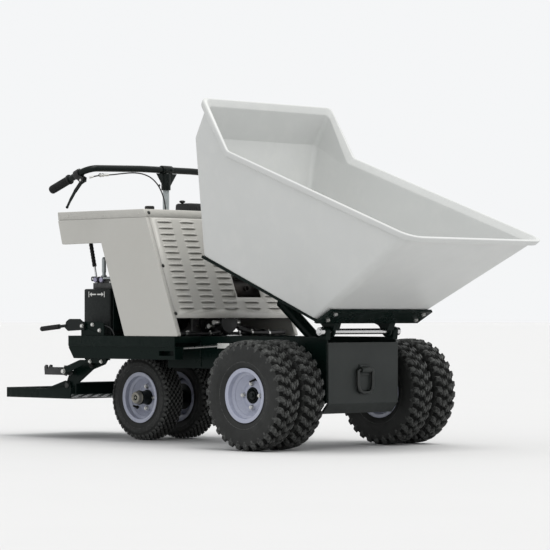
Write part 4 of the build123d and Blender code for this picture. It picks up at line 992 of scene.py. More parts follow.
def make_lid():
    """A top face with three openings, its edges bent down into skirts."""
    bend = 0.007
    outlines = ((HOOD_REAR + bend, HOOD_NOSE - bend, HOOD_HALF - bend, HOOD_TOP),
                (HOOD_REAR, HOOD_NOSE, HOOD_HALF, HOOD_TOP),
                (HOOD_REAR + 0.005, nose_x(LID_BOTTOM), HOOD_HALF, LID_BOTTOM))
    loops = [[(rear, -half, z), (nose, -half, z), (nose, half, z), (rear, half, z)]
             for rear, nose, half, z in outlines]
    rings = bent_rings(loops, 0.008, 0.0065, 5)
    bm = bmesh.new()
    loft(bm, rings)
    holes = [circle(Vector((x, y, HOOD_TOP)), FORWARD, LEFT, radius, 40)
             for x, y, radius in ((REAR_AXLE.x, 0, 0.042), (-0.441, -0.200, 0.026))]
    holes.append(rounded_rectangle(-0.444, -0.332, -0.056, 0.056, 0.012, level(HOOD_TOP)))
    fill(bm, (rings[0], *holes))
    lid = piece("hood_lid_bent", bm, "hood_lid", LOOK["hood"], ["hood_lid"], smooth=30)
    thicken(lid, SHEET)


def make_side_panels():
    """Flat side faces, bent round into narrow flanges."""
    outline = [(HOOD_REAR + 0.005, LID_BOTTOM - 0.0006), (nose_x(LID_BOTTOM), LID_BOTTOM - 0.0006),
               (nose_x(DECK_TOP), DECK_TOP), (-0.415, DECK_TOP), (-0.572, 0.895), (-0.840, 0.892)]
    bm = bmesh.new()
    for side in (-1, 1):
        y = side * HOOD_HALF
        walk = ((inset_loop(outline, 0.0055), y), (outline, y), (outline, y - side * 0.0215))
        loops = [[(x, across, z) for x, z in loop] for loop, across in walk]
        loft(bm, bent_rings(loops, 0.006, 0.005, 4), cap_start=True)
    sides = piece("hood_sides_bent", bm, "hood_sides", LOOK["hood"], ["hood_sides"],
                  smooth=30)
    thicken(sides, SHEET)


PANEL_FOOT = 0.557
LOUVRE_LENGTH = 0.095
LOUVRE_REACH = 0.0135      # how far a scoop runs up from its cut
LOUVRE_DEPTH = 0.0062
LOUVRE_FACETS = 12
LOUVRE_PITCH = (0.137, 0.0294)
LOUVRE_FIRST = 0.129
WINDOW = (0.052, 0.205, 0.182, 0.292)


def louvre_cuts():
    """Middle of every louvre's cut: five columns of fifteen, but for those in the window's way."""
    for column, row in product(range(5), range(15)):
        y = (column - 2) * LOUVRE_PITCH[0]
        v = LOUVRE_FIRST + row * LOUVRE_PITCH[1]
        if not (WINDOW[0] < y < WINDOW[1] and WINDOW[2] - 0.019 < v < WINDOW[3] + 0.009):
            yield y, v


def on_scoop(y, cut, facet, up, out=0.0):
    """A point of one louvre, with shares of its bowed rise up the panel and of its depth out."""
    along = facet / LOUVRE_FACETS
    swell = max(0.0, math.sin(math.pi * along)) ** 0.35
    return on_nose(y + (along - 0.5) * LOUVRE_LENGTH, cut + LOUVRE_REACH * swell * up,
                   LOUVRE_DEPTH * swell * out)


def make_louvres():
    """The front panel: each louvre is cut along its foot and pressed out as a shallow scoop."""
    foot = (PANEL_FOOT - SLOPE_FOOT) / SLOPE_UP.z
    head = (LID_BOTTOM - 0.001 - SLOPE_FOOT) / SLOPE_UP.z
    half = HOOD_HALF - 0.0225
    loops = [[on_nose(-half, foot), on_nose(half, foot), on_nose(half, head), on_nose(-half, head)],
             rounded_rectangle(*WINDOW, 0.004, on_nose)]
    for y, cut in louvre_cuts():
        straight = [on_scoop(y, cut, facet, 0.0) for facet in range(LOUVRE_FACETS + 1)]
        bowed = [on_scoop(y, cut, facet, 1.0) for facet in range(LOUVRE_FACETS - 1, 0, -1)]
        loops.append(straight + bowed)
    bm = bmesh.new()
    fill(bm, loops)
    for face in bm.faces:
        if face.normal.dot(NOSE_OUT) < 0:
            face.normal_flip()
    for y, cut in louvre_cuts():
        rows = [[on_scoop(y, cut, facet, 1 - k / 4, (k / 4) ** 0.8) for facet in range(LOUVRE_FACETS + 1)]
                for k in range(5)]
        loft(bm, rows, closed=False)
    panel = piece("hood_front_louvred", bm, "hood_front", LOOK["hood"], ["hood_front"],
                  smooth=18)
    thicken(panel, LOUVRED_SHEET)

    # tab bent out at the window's foot
    bm = bmesh.new()
    flap = [on_nose(WINDOW[0] + y, WINDOW[2] + v, out)
            for y, v, out in ((-0.001, 0.002, 0.001), (-0.001, 0.030, 0.001), (-0.034, 0.036, 0.020),
                              (-0.030, 0.020, 0.020))]
    plate(bm, flap, NOSE_OUT, 0.002)
    piece("hood_window_tab", bm, "hood_front", LOOK["hood"], bevel=0.0006)


HINGE = Vector((-0.887, 0.0, 0.247))
RAIL_FACE = 0.296
PIN_HEAD_SEAT = 0.3064


def pan_screw(bm, seat, out, radius):
    """A flanged screw with a shallow dome and a socket."""
    outline = [(0, 0), (0, 1.0), (0.0018, 1.0), (0.002, 0.76), (0.0031, 0.67), (0.0038, 0.46),
               (0.0039, 0.19), (0.0028, 0.16), (0.0028, 0)]
    lathe(bm, seat - out * 0.001, out, [(along, share * radius) for along, share in outline], 24)


def make_screws():
    """The hood's domed screws, the bolts of the platform's arms and the hinge pins' heads."""
    pin_head = [(0, 0), (0, 0.0138), (0.0022, 0.0138), (0.0044, 0.0115), (0.0046, 0)]
    bm = bmesh.new()
    for y, v in product((-0.352, 0.352), (0.104, 0.330, 0.584)):
        pan_screw(bm, on_nose(y, v), NOSE_OUT, 0.0085)
    painted_over = bmesh.new()
    for side, x in product((-1, 1), (-0.800, -0.560, -0.320)):
        pan_screw(painted_over, Vector((x, side * HOOD_HALF, LID_BOTTOM + 0.014)), LEFT * side, 0.0065)
    piece("lid_screws_painted", painted_over, "frame_bolts", LOOK["hood"])
    for side in (-1, 1):
        hexagon_head(bm, (-0.725, side * RAIL_FACE, 0.342), LEFT * side, 0.023, 0.0082, washer=0.016)
        seat = HINGE + LEFT * side * PIN_HEAD_SEAT
        turned(bm, HINGE + LEFT * side * 0.286, seat, 0.008)
        lathe(bm, seat, LEFT * side, pin_head, 32)
    piece("hood_screws_and_bolts", bm, "frame_bolts", LOOK["ring"], ["frame_bolts"])


make_lid()
make_side_panels()
make_louvres()
make_screws()


# ---------------------------------------------------------------- frame, pivot and tow ring
EYE = Vector((0.101, 0.0, 0.711))
BASE = Vector((0.551, 0.0, 0.350))


def make_frame_welds():
    """Beads on the chassis, then on the runners under the tub."""
    plate_front, rail_side, skirt_side = 0.6835, 0.2185, 0.3745
    bm = bmesh.new()
    for side in (-1, 1):
        # side plates to the front plate, the bearing blocks and the deck, and the deck to its skirt
        weld_bead(bm, (plate_front, side * 0.2175, 0.206), (plate_front, side * 0.2175, 0.448), 0.0034)
        weld_bead(bm, (0.652, side * 0.1945, 0.4645), (0.681, side * 0.1945, 0.4645), 0.003)
        weld_bead(bm, (-0.086, side * rail_side, 0.4475), (-0.086, side * rail_side, 0.340), 0.003)
        for x in (-0.70, -0.46, -0.22):
            weld_bead(bm, (x, side * skirt_side, 0.4288), (x + 0.05, side * skirt_side, 0.4288), 0.0026)
        weld_bead(bm, (-0.14, side * rail_side, 0.4690), (-0.10, side * rail_side, 0.4690), 0.003)
    for y, z in product((-0.0295, 0.0295), (0.3435, 0.3125)):
        weld_bead(bm, (0.6945, y, z), (0.6945, y, z + 0.0145), 0.0022)
    piece("frame_weld_beads", bm, "main_frame", LOOK["frame"], smooth=60)

    bm = bmesh.new()
    for y in (-0.190, -0.150, 0.150, 0.190):
        weld_bead(bm, raised(-0.66, y, 0.0498), raised(-0.02, y, 0.0498), 0.0028, 0.009)
    piece("tub_frame_welds", bm, "tub_frame", LOOK["frame"], smooth=60)


def make_tub_bolts():
    """Bolts through the front flange into the tub, and the rod eye's pin with its two heads."""
    foot = raised(0.034, 0, 0.050)
    along = raised(0.098, 0, 0.128) - foot
    out = Vector((along.z, 0, -along.x)).normalized()
    bm = bmesh.new()
    seats = [foot + along * reach + LEFT * y - out * 0.0003
             for y, reach in product((-0.275, 0.275), (0.3, 0.8))]
    bolts(bm, seats, out, 0.0165, 0.0065, washer=0.0108)
    cross_bar(bm, EYE, 0.038, 0.010)
    for start in (-0.038, 0.031):
        lathe(bm, EYE + LEFT * start, LEFT,
              [(0, 0), (0, 0.0145), (0.0012, 0.016), (0.0058, 0.016), (0.007, 0.0145), (0.007, 0)], 40)
    piece("tub_flange_bolts", bm, "tub_bolts", LOOK["zinc"], ["tub_bolts"])


def make_pivot():
    """The pivot shaft with its two clamp collars and their set screws, and the tub's bushes."""
    collar = [(0, 0.0124), (0, 0.0165), (0.0015, 0.018), (0.0195, 0.018), (0.021, 0.0165), (0.021, 0.0124)]
    screw = [(-0.004, 0.0035), (0.0005, 0.0035), (0.0005, 0.002), (-0.001, 0.0018), (-0.001, 0)]
    bm = bmesh.new()
    cross_bar(bm, PIVOT, 0.250, 0.0125, 0.0018, 48)
    for start in (-0.247, 0.226):
        lathe(bm, PIVOT + LEFT * start, LEFT, collar, 48, closed=True)
        lathe(bm, PIVOT + Vector((0.0173, start + 0.0105, 0.0)), FORWARD, screw, 16)
    piece("pivot_shaft_turned", bm, "pivot_shaft", LOOK["steel"], ["pivot_shaft"])
    bush = [(-0.0068, 0.0127), (-0.0068, 0.019), (0.0068, 0.019), (0.0068, 0.0127)]
    bm = bmesh.new()
    for y in (-0.176, 0.176):
        lathe(bm, PIVOT + LEFT * y, LEFT, bush, 40, closed=True, soft=0.0008, steps=2)
    piece("pivot_lug_bushes", bm, "tub_frame", LOOK["frame"])


def make_tow_ring():
    """A round bar bent into a U and closed across its top."""
    x, top, half = 0.7045, 0.336, 0.045
    foot = top - 0.097
    corners = [(x, half, top), (x, half, foot), (x, -half, foot), (x, -half, top)]
    bm = bmesh.new()
    sweep(bm, rounded_path(corners, [0.009, 0.036, 0.036, 0.009], True, 10), 0.0075, 20, closed=True)
    piece("tow_ring_forged", bm, "tow_ring", LOOK["ring"], ["tow_ring"], smooth=60)


make_frame_welds()
make_tub_bolts()
make_pivot()
make_tow_ring()


# ---------------------------------------------------------------- dump cylinder
def make_cylinder():
    """A polished rod with a welded eye, and a painted barrel with two port fittings."""
    run = (BASE - EYE).normalized()
    span = (BASE - EYE).length
    bm = bmesh.new()
    cross_bar(bm, EYE, 0.020, 0.020, 0.001)
    turned(bm, EYE + run * 0.010, EYE + run * 0.332, 0.014, 0.001, 48)
    sweep(bm, circle(EYE + run * 0.0215, LEFT, run.cross(LEFT), 0.0142, 24), 0.0028, 8, closed=True)
    piece("cylinder_rod_polished", bm, "cylinder_rod", LOOK["steel"], ["cylinder_rod"])
    gland = [(0.131, 0.0145), (0.131, 0.0270), (0.133, 0.028), (0.155, 0.028), (0.1555, 0.0268),
             (0.158, 0.0268), (0.1585, 0.0278)]
    end_cap = [(0.046, 0.0278), (0.045, 0.0262), (0.026, 0.0262), (0.0245, 0.024), (0.0245, 0.018),
               (0.012, 0.018), (0.012, 0.0)]
    barrel = gland + [(span - back, radius) for back, radius in end_cap]
    bm = bmesh.new()
    lathe(bm, EYE, run, barrel, 64, soft=0.0006, steps=2)
    cross_bar(bm, BASE, 0.020, 0.020, 0.001)
    cross_bar(bm, BASE, 0.040, 0.010, 0.001, 32)
    piece("cylinder_barrel_painted", bm, "cylinder_barrel", LOOK["frame"],
          ["cylinder_barrel"])
    bm = bmesh.new()
    for distance in (0.173, span - 0.060):
        port = EYE + run * distance
        turned(bm, port + LEFT * 0.026, port + LEFT * 0.034, 0.0088)
        hexagon_head(bm, port + LEFT * 0.033, LEFT, 0.0165, 0.0085)
    piece("cylinder_port_fittings", bm, "cylinder_barrel", LOOK["zinc"])


make_cylinder()


# ---------------------------------------------------------------- engine bay
def make_engine_block():
    """A stepped crankcase and cylinder with cooling fins and its bolts."""
    casting_face = -0.268
    bm = bmesh.new()
    box(bm, (-0.475, -0.120, DECK_TOP), (-0.266, 0.120, DECK_TOP + 0.016))
    box(bm, (-0.465, -0.100, DECK_TOP + 0.0162), (casting_face, 0.100, 0.680))
    box(bm, (-0.440, -0.075, 0.6802), (-0.310, 0.075, 0.850))
    box(bm, (-0.430, -0.060, 0.8502), (-0.330, 0.060, 0.880))
    piece("engine_crankcase", bm, "engine_block", LOOK["alloy"], ["engine_block"],
          bevel=0.005, segments=3)
    bm = bmesh.new()
    for k in range(11):
        fin = rounded_rectangle(-0.452, -0.298, -0.088, 0.088, 0.012, level(0.696 + 0.014 * k), 4)
        plate(bm, fin, UP, 0.0035)
    piece("engine_fins", bm, "engine_block", LOOK["alloy"], bevel=0.0006, segments=1)
    bm = bmesh.new()
    feet = product((-0.455, -0.286), (-0.105, 0.105), (DECK_TOP + 0.016,))
    bolts(bm, feet, UP, 0.013, 0.007, washer=0.010)
    for k in range(6):
        angle = TAU * (k + 0.5) / 6
        seat = (-0.232, math.cos(angle) * 0.056, 0.540 + math.sin(angle) * 0.056)
        hexagon_head(bm, seat, FORWARD, 0.010, 0.005)
    bolts(bm, product((-0.128,), (-0.03, 0.03), (0.560,)), FORWARD, 0.010, 0.005)
    front = product((casting_face,), (-0.070, -0.035, 0.035, 0.070), (0.655, 0.520))
    bolts(bm, front, FORWARD, 0.010, 0.005)
    piece("engine_bolts", bm, "engine_block", LOOK["zinc"])


def make_recoil_cowl():
    """The recoil starter's shroud, with a spoked guard over its face."""
    centre = Vector((-0.364, -0.102, 0.590))
    cowl = [(0.0, 0.0), (0.0, 0.096), (0.064, 0.096), (0.074, 0.090), (0.084, 0.080), (0.084, 0.068),
            (0.068, 0.066), (0.068, 0.0)]
    hub = [(0.066, 0.0), (0.066, 0.030), (0.090, 0.028), (0.094, 0.022), (0.094, 0.0)]
    bm = bmesh.new()
    lathe(bm, centre, -LEFT, cowl, 72, soft=0.004)
    for k in range(14):
        spoke = [about(centre, TAU * k / 14, radius, -0.080) for radius in (0.026, 0.070)]
        sweep(bm, spoke, 0.0035, 8)
    lathe(bm, centre, -LEFT, hub, 40, soft=0.003)
    piece("engine_recoil_cowl", bm, "engine_shroud", LOOK["plastic"], ["engine_shroud"])


def make_muffler():
    """A can with pressed seams, the pipe from the engine and a short tail pipe."""
    x, z = -0.222, 0.690
    can = [(0.0, 0.0), (0.0, 0.036), (0.006, 0.042), (0.006, 0.044), (0.012, 0.044), (0.012, 0.042),
           (0.218, 0.042), (0.218, 0.044), (0.224, 0.044), (0.224, 0.042), (0.230, 0.036), (0.230, 0.0)]
    tail = [(0.0, 0.009), (0.0, 0.013), (0.054, 0.013), (0.054, 0.011), (0.020, 0.0105), (0.020, 0)]
    bm = bmesh.new()
    lathe(bm, (x, 0.070, z), LEFT, can, 56, soft=0.0015, steps=2)
    pipe = [(-0.297, 0.084, 0.740), (-0.255, 0.084, 0.740), (-0.226, 0.084, 0.712)]
    sweep(bm, rounded_path(pipe, 0.02, steps=6), 0.014, 24)
    lathe(bm, (x, 0.150, z), FORWARD, tail, 32)
    piece("muffler_can", bm, "muffler", LOOK["exhaust"], ["muffler"])


def make_air_cleaner():
    """A moulded cover with ribs and a wing knob above the lid."""
    x, y = -0.400, -0.036
    knob = [(0.0, 0.0), (0.0, 0.0085), (0.002, 0.0125), (0.006, 0.0140), (0.0095, 0.0125), (0.0115, 0.0075),
            (0.012, 0)]
    bm = bmesh.new()
    stacked(bm, -0.438, -0.338, 0.050, 0.012, 5,
            ((0.880, 0.0), (1.030, 0.0), (1.066, -0.0012), (1.073, -0.003), (1.0765, -0.008)))
    for k, wall in product(range(5), (-0.4375, -0.3385)):
        rib = -0.030 + 0.015 * k
        sweep(bm, [(wall, rib, 1.0005), (wall, rib, 1.062)], 0.0016, 8)
    turned(bm, (x, y, 1.074), (x, y, 1.082), 0.006, 0.001, 24)
    lathe(bm, (x, y, 1.079), UP, knob, 36, soft=0.0008, steps=2)
    piece("air_cleaner_cover", bm, "air_cleaner", LOOK["plastic"], ["air_cleaner"],
          bevel=0.0007)


def fluted_cap(bm, foot, radius, height):
    """A screw cap with a fluted skirt and a domed top."""
    count = 4 * 24
    rings = []
    for share, size in ((0.0, 0.97), (0.06, 1.0), (0.72, 1.0), (0.86, 0.96), (0.97, 0.86), (1.0, 0.70)):
        ring = []
        for k in range(count):
            on_flute = k % 4 < 2 and 0 < share < 0.8
            reach = radius * size * (0.965 if on_flute else 1.0)
            angle = TAU * k / count
            ring.append(foot + Vector((math.cos(angle) * reach, math.sin(angle) * reach, height * share)))
        rings.append(ring)
    loft(bm, rings, cap_start=True, cap_end=True)


def make_caps():
    """The fuel tank's cap above the lid and the oil tank's cap."""
    bm = bmesh.new()
    fluted_cap(bm, Vector((-0.441, -0.200, HOOD_TOP + 0.004)), 0.022, 0.018)
    fluted_cap(bm, Vector((-0.690, 0.120, 0.701)), 0.038, 0.030)
    piece("filler_caps_fluted", bm, "filler_caps", LOOK["plastic"], ["filler_caps"])


def make_fittings():
    """Fittings on the pump, the hoses and the manifold."""
    bm = bmesh.new()
    for side in (1, -1):
        aim = LEFT * side
        for start in (Vector((-0.180, side * 0.050, 0.520)), Vector((-0.150, side * 0.048, 0.536))):
            hexagon_head(bm, start, aim, 0.024, 0.010)
            turned(bm, start + aim * 0.009, start + aim * 0.024, 0.0125)
            hexagon_head(bm, start + aim * 0.023, aim, 0.022, 0.008)
        fitting = Vector((0.312, side * 0.040, 0.300))
        hexagon_head(bm, fitting - FORWARD * 0.004, FORWARD, 0.022, 0.010)
        turned(bm, fitting + FORWARD * 0.005, fitting + FORWARD * 0.026, 0.0108)
    piece("hydraulic_fittings", bm, "hydraulic_pump", LOOK["zinc"])


def make_bay_lines():
    """Low hoses along the deck below the louvred panel, held by banded clips."""
    lines = (
        (0.0065, [(-0.196, -0.330, 0.487), (-0.150, -0.250, 0.486), (-0.128, -0.120, 0.487),
                  (-0.130, -0.060, 0.496)]),
        (0.0090, [(-0.110, 0.330, 0.492), (-0.106, 0.230, 0.488), (-0.112, 0.120, 0.490),
                  (-0.130, 0.055, 0.510)]),
        (0.0075, [(-0.215, 0.300, 0.500), (-0.190, 0.210, 0.488), (-0.180, 0.110, 0.487),
                  (-0.180, 0.020, 0.487)]),
    )
    hoses = bmesh.new()
    clips = bmesh.new()
    for hose, corners in lines:
        spots = rounded_path(corners, 0.06, steps=6)
        sweep(hoses, spots, hose, 14)
        for share in (0.35, 0.68):
            at = int(share * (len(spots) - 2))
            aim = (spots[at + 1] - spots[at]).normalized()
            radius = hose + 0.0014
            band = [(0, radius - 0.0012), (0, radius), (0.009, radius), (0.009, radius - 0.0012)]
            lathe(clips, spots[at], aim, band, 24, closed=True)
            top = spots[at] + aim * 0.0045 + UP * radius
            turned(clips, top, top + UP * 0.006, 0.003, 0.0005, 12)
    piece("bay_hose_lines", hoses, "hydraulic_pump", LOOK["hose"], smooth=60)
    piece("bay_hose_clips", clips, "hydraulic_pump", LOOK["zinc"])


make_engine_block()
make_recoil_cowl()
make_muffler()
make_air_cleaner()
make_caps()
make_fittings()
make_bay_lines()


# ---------------------------------------------------------------- console: tank, valve and levers
TANK_REAR = -0.778
TANK_FRONT = -0.596
TANK_HALF = 0.300
VALVE_Y = -0.250
LEVER_FOOT = Vector((-0.745, VALVE_Y, 0.735))
LEVER_TOP = Vector((-0.800, VALVE_Y, 0.958))


def make_tank():
    """A welded oil tank with a filler neck, seams, plugs and its sight gauge on the rear face."""
    neck = [(0, 0.036), (0.003, 0.036), (0.004, 0.034), (0.0125, 0.034), (0.0125, 0)]
    bm = bmesh.new()
    stacked(bm, TANK_REAR, TANK_FRONT, TANK_HALF, 0.010, 4,
            ((DECK_TOP, 0.0), (0.683, 0.0), (0.6865, -0.001), (0.689, -0.0045)))
    lathe(bm, (-0.690, 0.120, 0.6885), UP, neck, 40)
    piece("hydraulic_tank_welded", bm, "hydraulic_tank", LOOK["black"], ["hydraulic_tank"])
    seam, bite = 0.6845, 0.0005
    bm = bmesh.new()
    for y in (bite - TANK_HALF, TANK_HALF - bite):
        weld_bead(bm, (-0.770, y, seam), (-0.604, y, seam), 0.0016, 0.007)
    for x in (TANK_REAR + bite, TANK_FRONT - bite):
        weld_bead(bm, (x, -0.292, seam), (x, 0.292, seam), 0.0016, 0.007)
    piece("tank_seams", bm, "hydraulic_tank", LOOK["black"], smooth=60)
    bm = bmesh.new()
    turned(bm, (TANK_REAR, 0.200, 0.580), (TANK_REAR - 0.006, 0.200, 0.580), 0.018, 0.001, 40)
    hexagon_head(bm, (TANK_REAR, -0.180, 0.500), -FORWARD, 0.020, 0.008)
    bolts(bm, product((-0.715, -0.620), (-0.276, -0.224), (0.716,)), UP, 0.011, 0.006)
    piece("tank_plugs", bm, "hydraulic_tank", LOOK["zinc"])


def make_tank_arrow():
    """A plain two-way arrow on the tank's side face, with a stop bar at each tip."""
    middle, z = -0.688, 0.6635
    y = -TANK_HALF - 0.0002
    bm = bmesh.new()
    for way in (-1, 1):
        tip = middle + way * 0.048
        neck = tip - way * 0.015
        shaft = middle + way * 0.004
        arrow = [(shaft, z - 0.0028), (neck, z - 0.0028), (neck, z - 0.0095), (tip, z), (neck, z + 0.0095),
                 (neck, z + 0.0028), (shaft, z + 0.0028)]
        near, far = tip + way * 0.003, tip + way * 0.007
        stop = [(near, z - 0.013), (far, z - 0.013), (far, z + 0.013), (near, z + 0.013)]
        for outline in (arrow, stop):
            side_prism(bm, outline, y, y - 0.0006)
    piece("tank_arrow_mark", bm, "hydraulic_tank", LOOK["mark"])


def make_valve():
    """A valve block with lever ears, two spool caps and the upright filter beside the lever."""
    bm = bmesh.new()
    box(bm, (-0.735, VALVE_Y - 0.030, 0.6888), (-0.600, VALVE_Y + 0.030, 0.716))
    box(bm, (-0.728, VALVE_Y - 0.024, 0.7162), (-0.612, VALVE_Y + 0.024, 0.744))
    for y in (VALVE_Y - 0.024, VALVE_Y + 0.016):
        ear = [(-0.7278, y, 0.724), (-0.757, y, 0.724), (-0.757, y, 0.746), (-0.7278, y, 0.746)]
        hole = circle(Vector((LEVER_FOOT.x, y, LEVER_FOOT.z)), FORWARD, UP, 0.0053, 24)
        plate(bm, rounded_path(ear, 0.008), LEFT, 0.008, [hole])
    piece("control_valve_block", bm, "control_valve", LOOK["cast"], ["control_valve"],
          bevel=0.0012)
    cap = [(0.0, 0.0), (0.0, 0.0095), (0.003, 0.0125), (0.012, 0.0125), (0.0155, 0.0105), (0.017, 0.006),
           (0.017, 0)]
    bm = bmesh.new()
    for x in (-0.712, -0.672):
        lathe(bm, (x, VALVE_Y - 0.0245, 0.730), -LEFT, cap, 36, soft=0.0008, steps=2)
    piece("valve_knobs", bm, "control_valve", LOOK["knob"])
    column = [(0.0, 0.0), (0.0, 0.0135), (0.006, 0.0135), (0.008, 0.0085), (0.020, 0.0085), (0.022, 0.0099),
              (0.080, 0.0099), (0.084, 0.0085), (0.090, 0.006), (0.091, 0)]
    near, far = VALVE_Y - 0.0245, VALVE_Y - 0.038
    pipe = [(-0.658, near, 0.737), (-0.658, far, 0.737), (-0.604, far, 0.737), (-0.604, near, 0.737)]
    bm = bmesh.new()
    lathe(bm, (-0.694, VALVE_Y, 0.744), UP, column, 40, soft=0.0008, steps=2)
    sweep(bm, rounded_path(pipe, 0.008), 0.0042)
    piece("valve_filter", bm, "control_valve", LOOK["column"])


def make_dump_lever():
    """A rod on its pin, with a grooved rubber sleeve."""
    run = LEVER_TOP - LEVER_FOOT
    length = run.length
    bm = bmesh.new()
    cross_bar(bm, LEVER_FOOT, 0.025, 0.005)
    cross_bar(bm, LEVER_FOOT, 0.010, 0.009)
    sweep(bm, [LEVER_FOOT + run * 0.03, LEVER_TOP], 0.005, 20)
    piece("dump_lever_rod", bm, "dump_lever", LOOK["steel"], ["dump_lever"])
    mouth = [(0.255, 0.0052), (0.255, 0.0088), (0.27, 0.0098)]
    tip = [(0.97, 0.0098), (1.01, 0.0085), (1.02, 0.004), (1.02, 0.0)]
    sleeve = [(share * length, radius) for share, radius in mouth]
    sleeve += ribbing(0.32 * length, 0.065 * length, 9, 0.0098, 0.0086, (0, 0.002, 0.006, 0.008))
    sleeve += [(share * length, radius) for share, radius in tip]
    bm = bmesh.new()
    lathe(bm, LEVER_FOOT, run, sleeve, 36)
    piece("dump_lever_sleeve", bm, "dump_lever_grip", LOOK["grip"], ["dump_lever_grip"])


def make_parking_brake():
    """The parking brake's grooved grip and the bolts of its bracket."""
    root = Vector((-0.806, -0.3725, 0.522))
    sleeve = [(0.056, 0.0072), (0.056, 0.0105), (0.059, 0.0115)]
    sleeve += ribbing(0.066, 0.014, 8, 0.0115, 0.0103, (0, 0.0015, 0.005, 0.0065))
    sleeve += [(0.181, 0.0115), (0.185, 0.0095), (0.186, 0.005), (0.186, 0)]
    bm = bmesh.new()
    lathe(bm, root, (-178, 0, -16), sleeve, 32)
    piece("brake_grip_ribbed", bm, "brake_grip", LOOK["grip"], ["brake_grip"])
    bm = bmesh.new()
    seats = ((-0.700, -0.377, 0.520), (-0.640, -0.366, 0.526), (-0.592, -0.366, 0.500))
    bolts(bm, seats, -LEFT, 0.014, 0.006, washer=0.009)
    bolts(bm, product((-0.690, -0.600), (-0.348,), (DECK_TOP + 0.005,)), UP, 0.012, 0.006, washer=0.009)
    piece("brake_bolts", bm, "brake_bracket", LOOK["zinc"])


make_tank()
make_tank_arrow()
make_valve()
make_dump_lever()
make_parking_brake()


# ---------------------------------------------------------------- steering, bar and hand levers
BAR = Vector((-0.548, 0, 1.235))
BAR_HALF = 0.472
GRIP_END = Vector((-0.798, 0.0, 1.137))
GRIP_RUN = (Vector((BAR.x, 0, 1.226)) - GRIP_END).normalized()


def make_bar_bracket():
    """Socket on the column, a split saddle round the bar and two gussets under it."""
    socket = [(0.0, 0.0152), (0.0, 0.0215), (0.074, 0.0215), (0.078, 0.0190), (0.080, 0.0152)]
    saddle = [(-0.030, 0.0151), (-0.030, 0.0205), (0.030, 0.0205), (0.030, 0.0151)]
    bm = bmesh.new()
    lathe(bm, BAR - UP * 0.092, UP, socket, 48, closed=True, soft=0.001, steps=2)
    lathe(bm, BAR, LEFT, saddle, 48, closed=True, soft=0.0012, steps=2)
    for side in (-1, 1):
        web = [(BAR.x, side * y, z) for y, z in ((0.018, 1.156), (0.062, 1.2185), (0.018, 1.2185))]
        plate(bm, web, FORWARD, 0.007)
        screw = BAR + LEFT * side * 0.018
        turned(bm, screw + FORWARD * 0.0205, screw + FORWARD * 0.026, 0.006)
    piece("bar_bracket_welded", bm, "bar_bracket", LOOK["black"], ["bar_bracket"],
          bevel=0.0006)


def make_hand_lever(pivot, word):
    """A flat cranked blade that swells at the finger bow and ends in a ball."""
    y = pivot.y
    line = rounded_path([(-0.5745, y, 1.176), (-0.596, y, 1.1655), (-0.640, y, 1.124), (-0.672, y, 1.086),
                         (-0.694, y, 1.055)], 0.05, steps=6)
    rings = []
    count = len(line)
    for i, spot in enumerate(line):
        ahead = (line[min(i + 1, count - 1)] - line[max(i - 1, 0)]).normalized()
        up = ahead.cross(LEFT)
        share = i / (count - 1)
        deep = 0.0125 - 0.0065 * share ** 0.7
        wide = 0.0034 + 0.0004 * math.sin(math.pi * share)
        ring = []
        for k in range(16):
            angle = TAU * k / 16
            c, s = math.cos(angle), math.sin(angle)
            ring.append(spot + up * math.copysign(abs(c) ** 0.75, c) * deep
                        + Vector((0, math.copysign(abs(s) ** 0.55, s) * wide, 0)))
        rings.append(ring)
    bm = bmesh.new()
    loft(bm, rings, cap_start=True, cap_end=True)
    ball = 0.0068
    globe = [(ball * (1 - math.cos(math.pi * k / 10)) - 0.0078, ball * math.sin(math.pi * k / 10))
             for k in range(11)]
    lathe(bm, line[-1], line[-1] - line[-2], globe, 24)
    cross_bar(bm, pivot, 0.0138, 0.004)
    cross_bar(bm, pivot, 0.0038, 0.009)
    piece(f"hand_lever_{word}_forged", bm, f"hand_lever_{word}", LOOK["black"],
          [f"hand_lever_{word}"])


def make_grips():
    """Ribbed rubber grips with end flanges, the hand levers and the screws of their perches."""
    outline = [(-0.0038, 0.0), (-0.0038, 0.013), (-0.001, 0.0178), (0.004, 0.0195), (0.009, 0.0185)]
    outline += ribbing(0.013, 0.0063, 17, 0.0183, 0.0195, (0, 0.0012, 0.0036, 0.0048))
    outline += [(0.123, 0.0185), (0.126, 0.0228), (0.131, 0.0228), (0.1325, 0.0205), (0.1325, 0.0152)]
    grips = bmesh.new()
    screws = bmesh.new()
    for side, word in ((-1, "right"), (1, "left")):
        tip = GRIP_END + LEFT * side * BAR_HALF
        lathe(grips, tip, GRIP_RUN, outline, 48)
        perch = tip + GRIP_RUN * 0.193
        seats = [perch + Vector((0.008, y, 0.020)) for y in (-0.0065, 0.0065)]
        bolts(screws, seats, (-GRIP_RUN.z, 0, GRIP_RUN.x), 0.007, 0.003)
        pivot = Vector((-0.586, side * BAR_HALF, 1.174))
        hexagon_head(screws, pivot + LEFT * side * 0.0125, LEFT * side, 0.011, 0.0045)
        make_hand_lever(pivot, word)
    piece("grips_ribbed", grips, "grips", LOOK["grip"], ["grips"])
    bolts(screws, product((-0.572,), (-0.018, 0.018), (1.165, 1.205)), -FORWARD, 0.011, 0.005)
    piece("bar_screws", screws, "lever_perches", LOOK["zinc"])


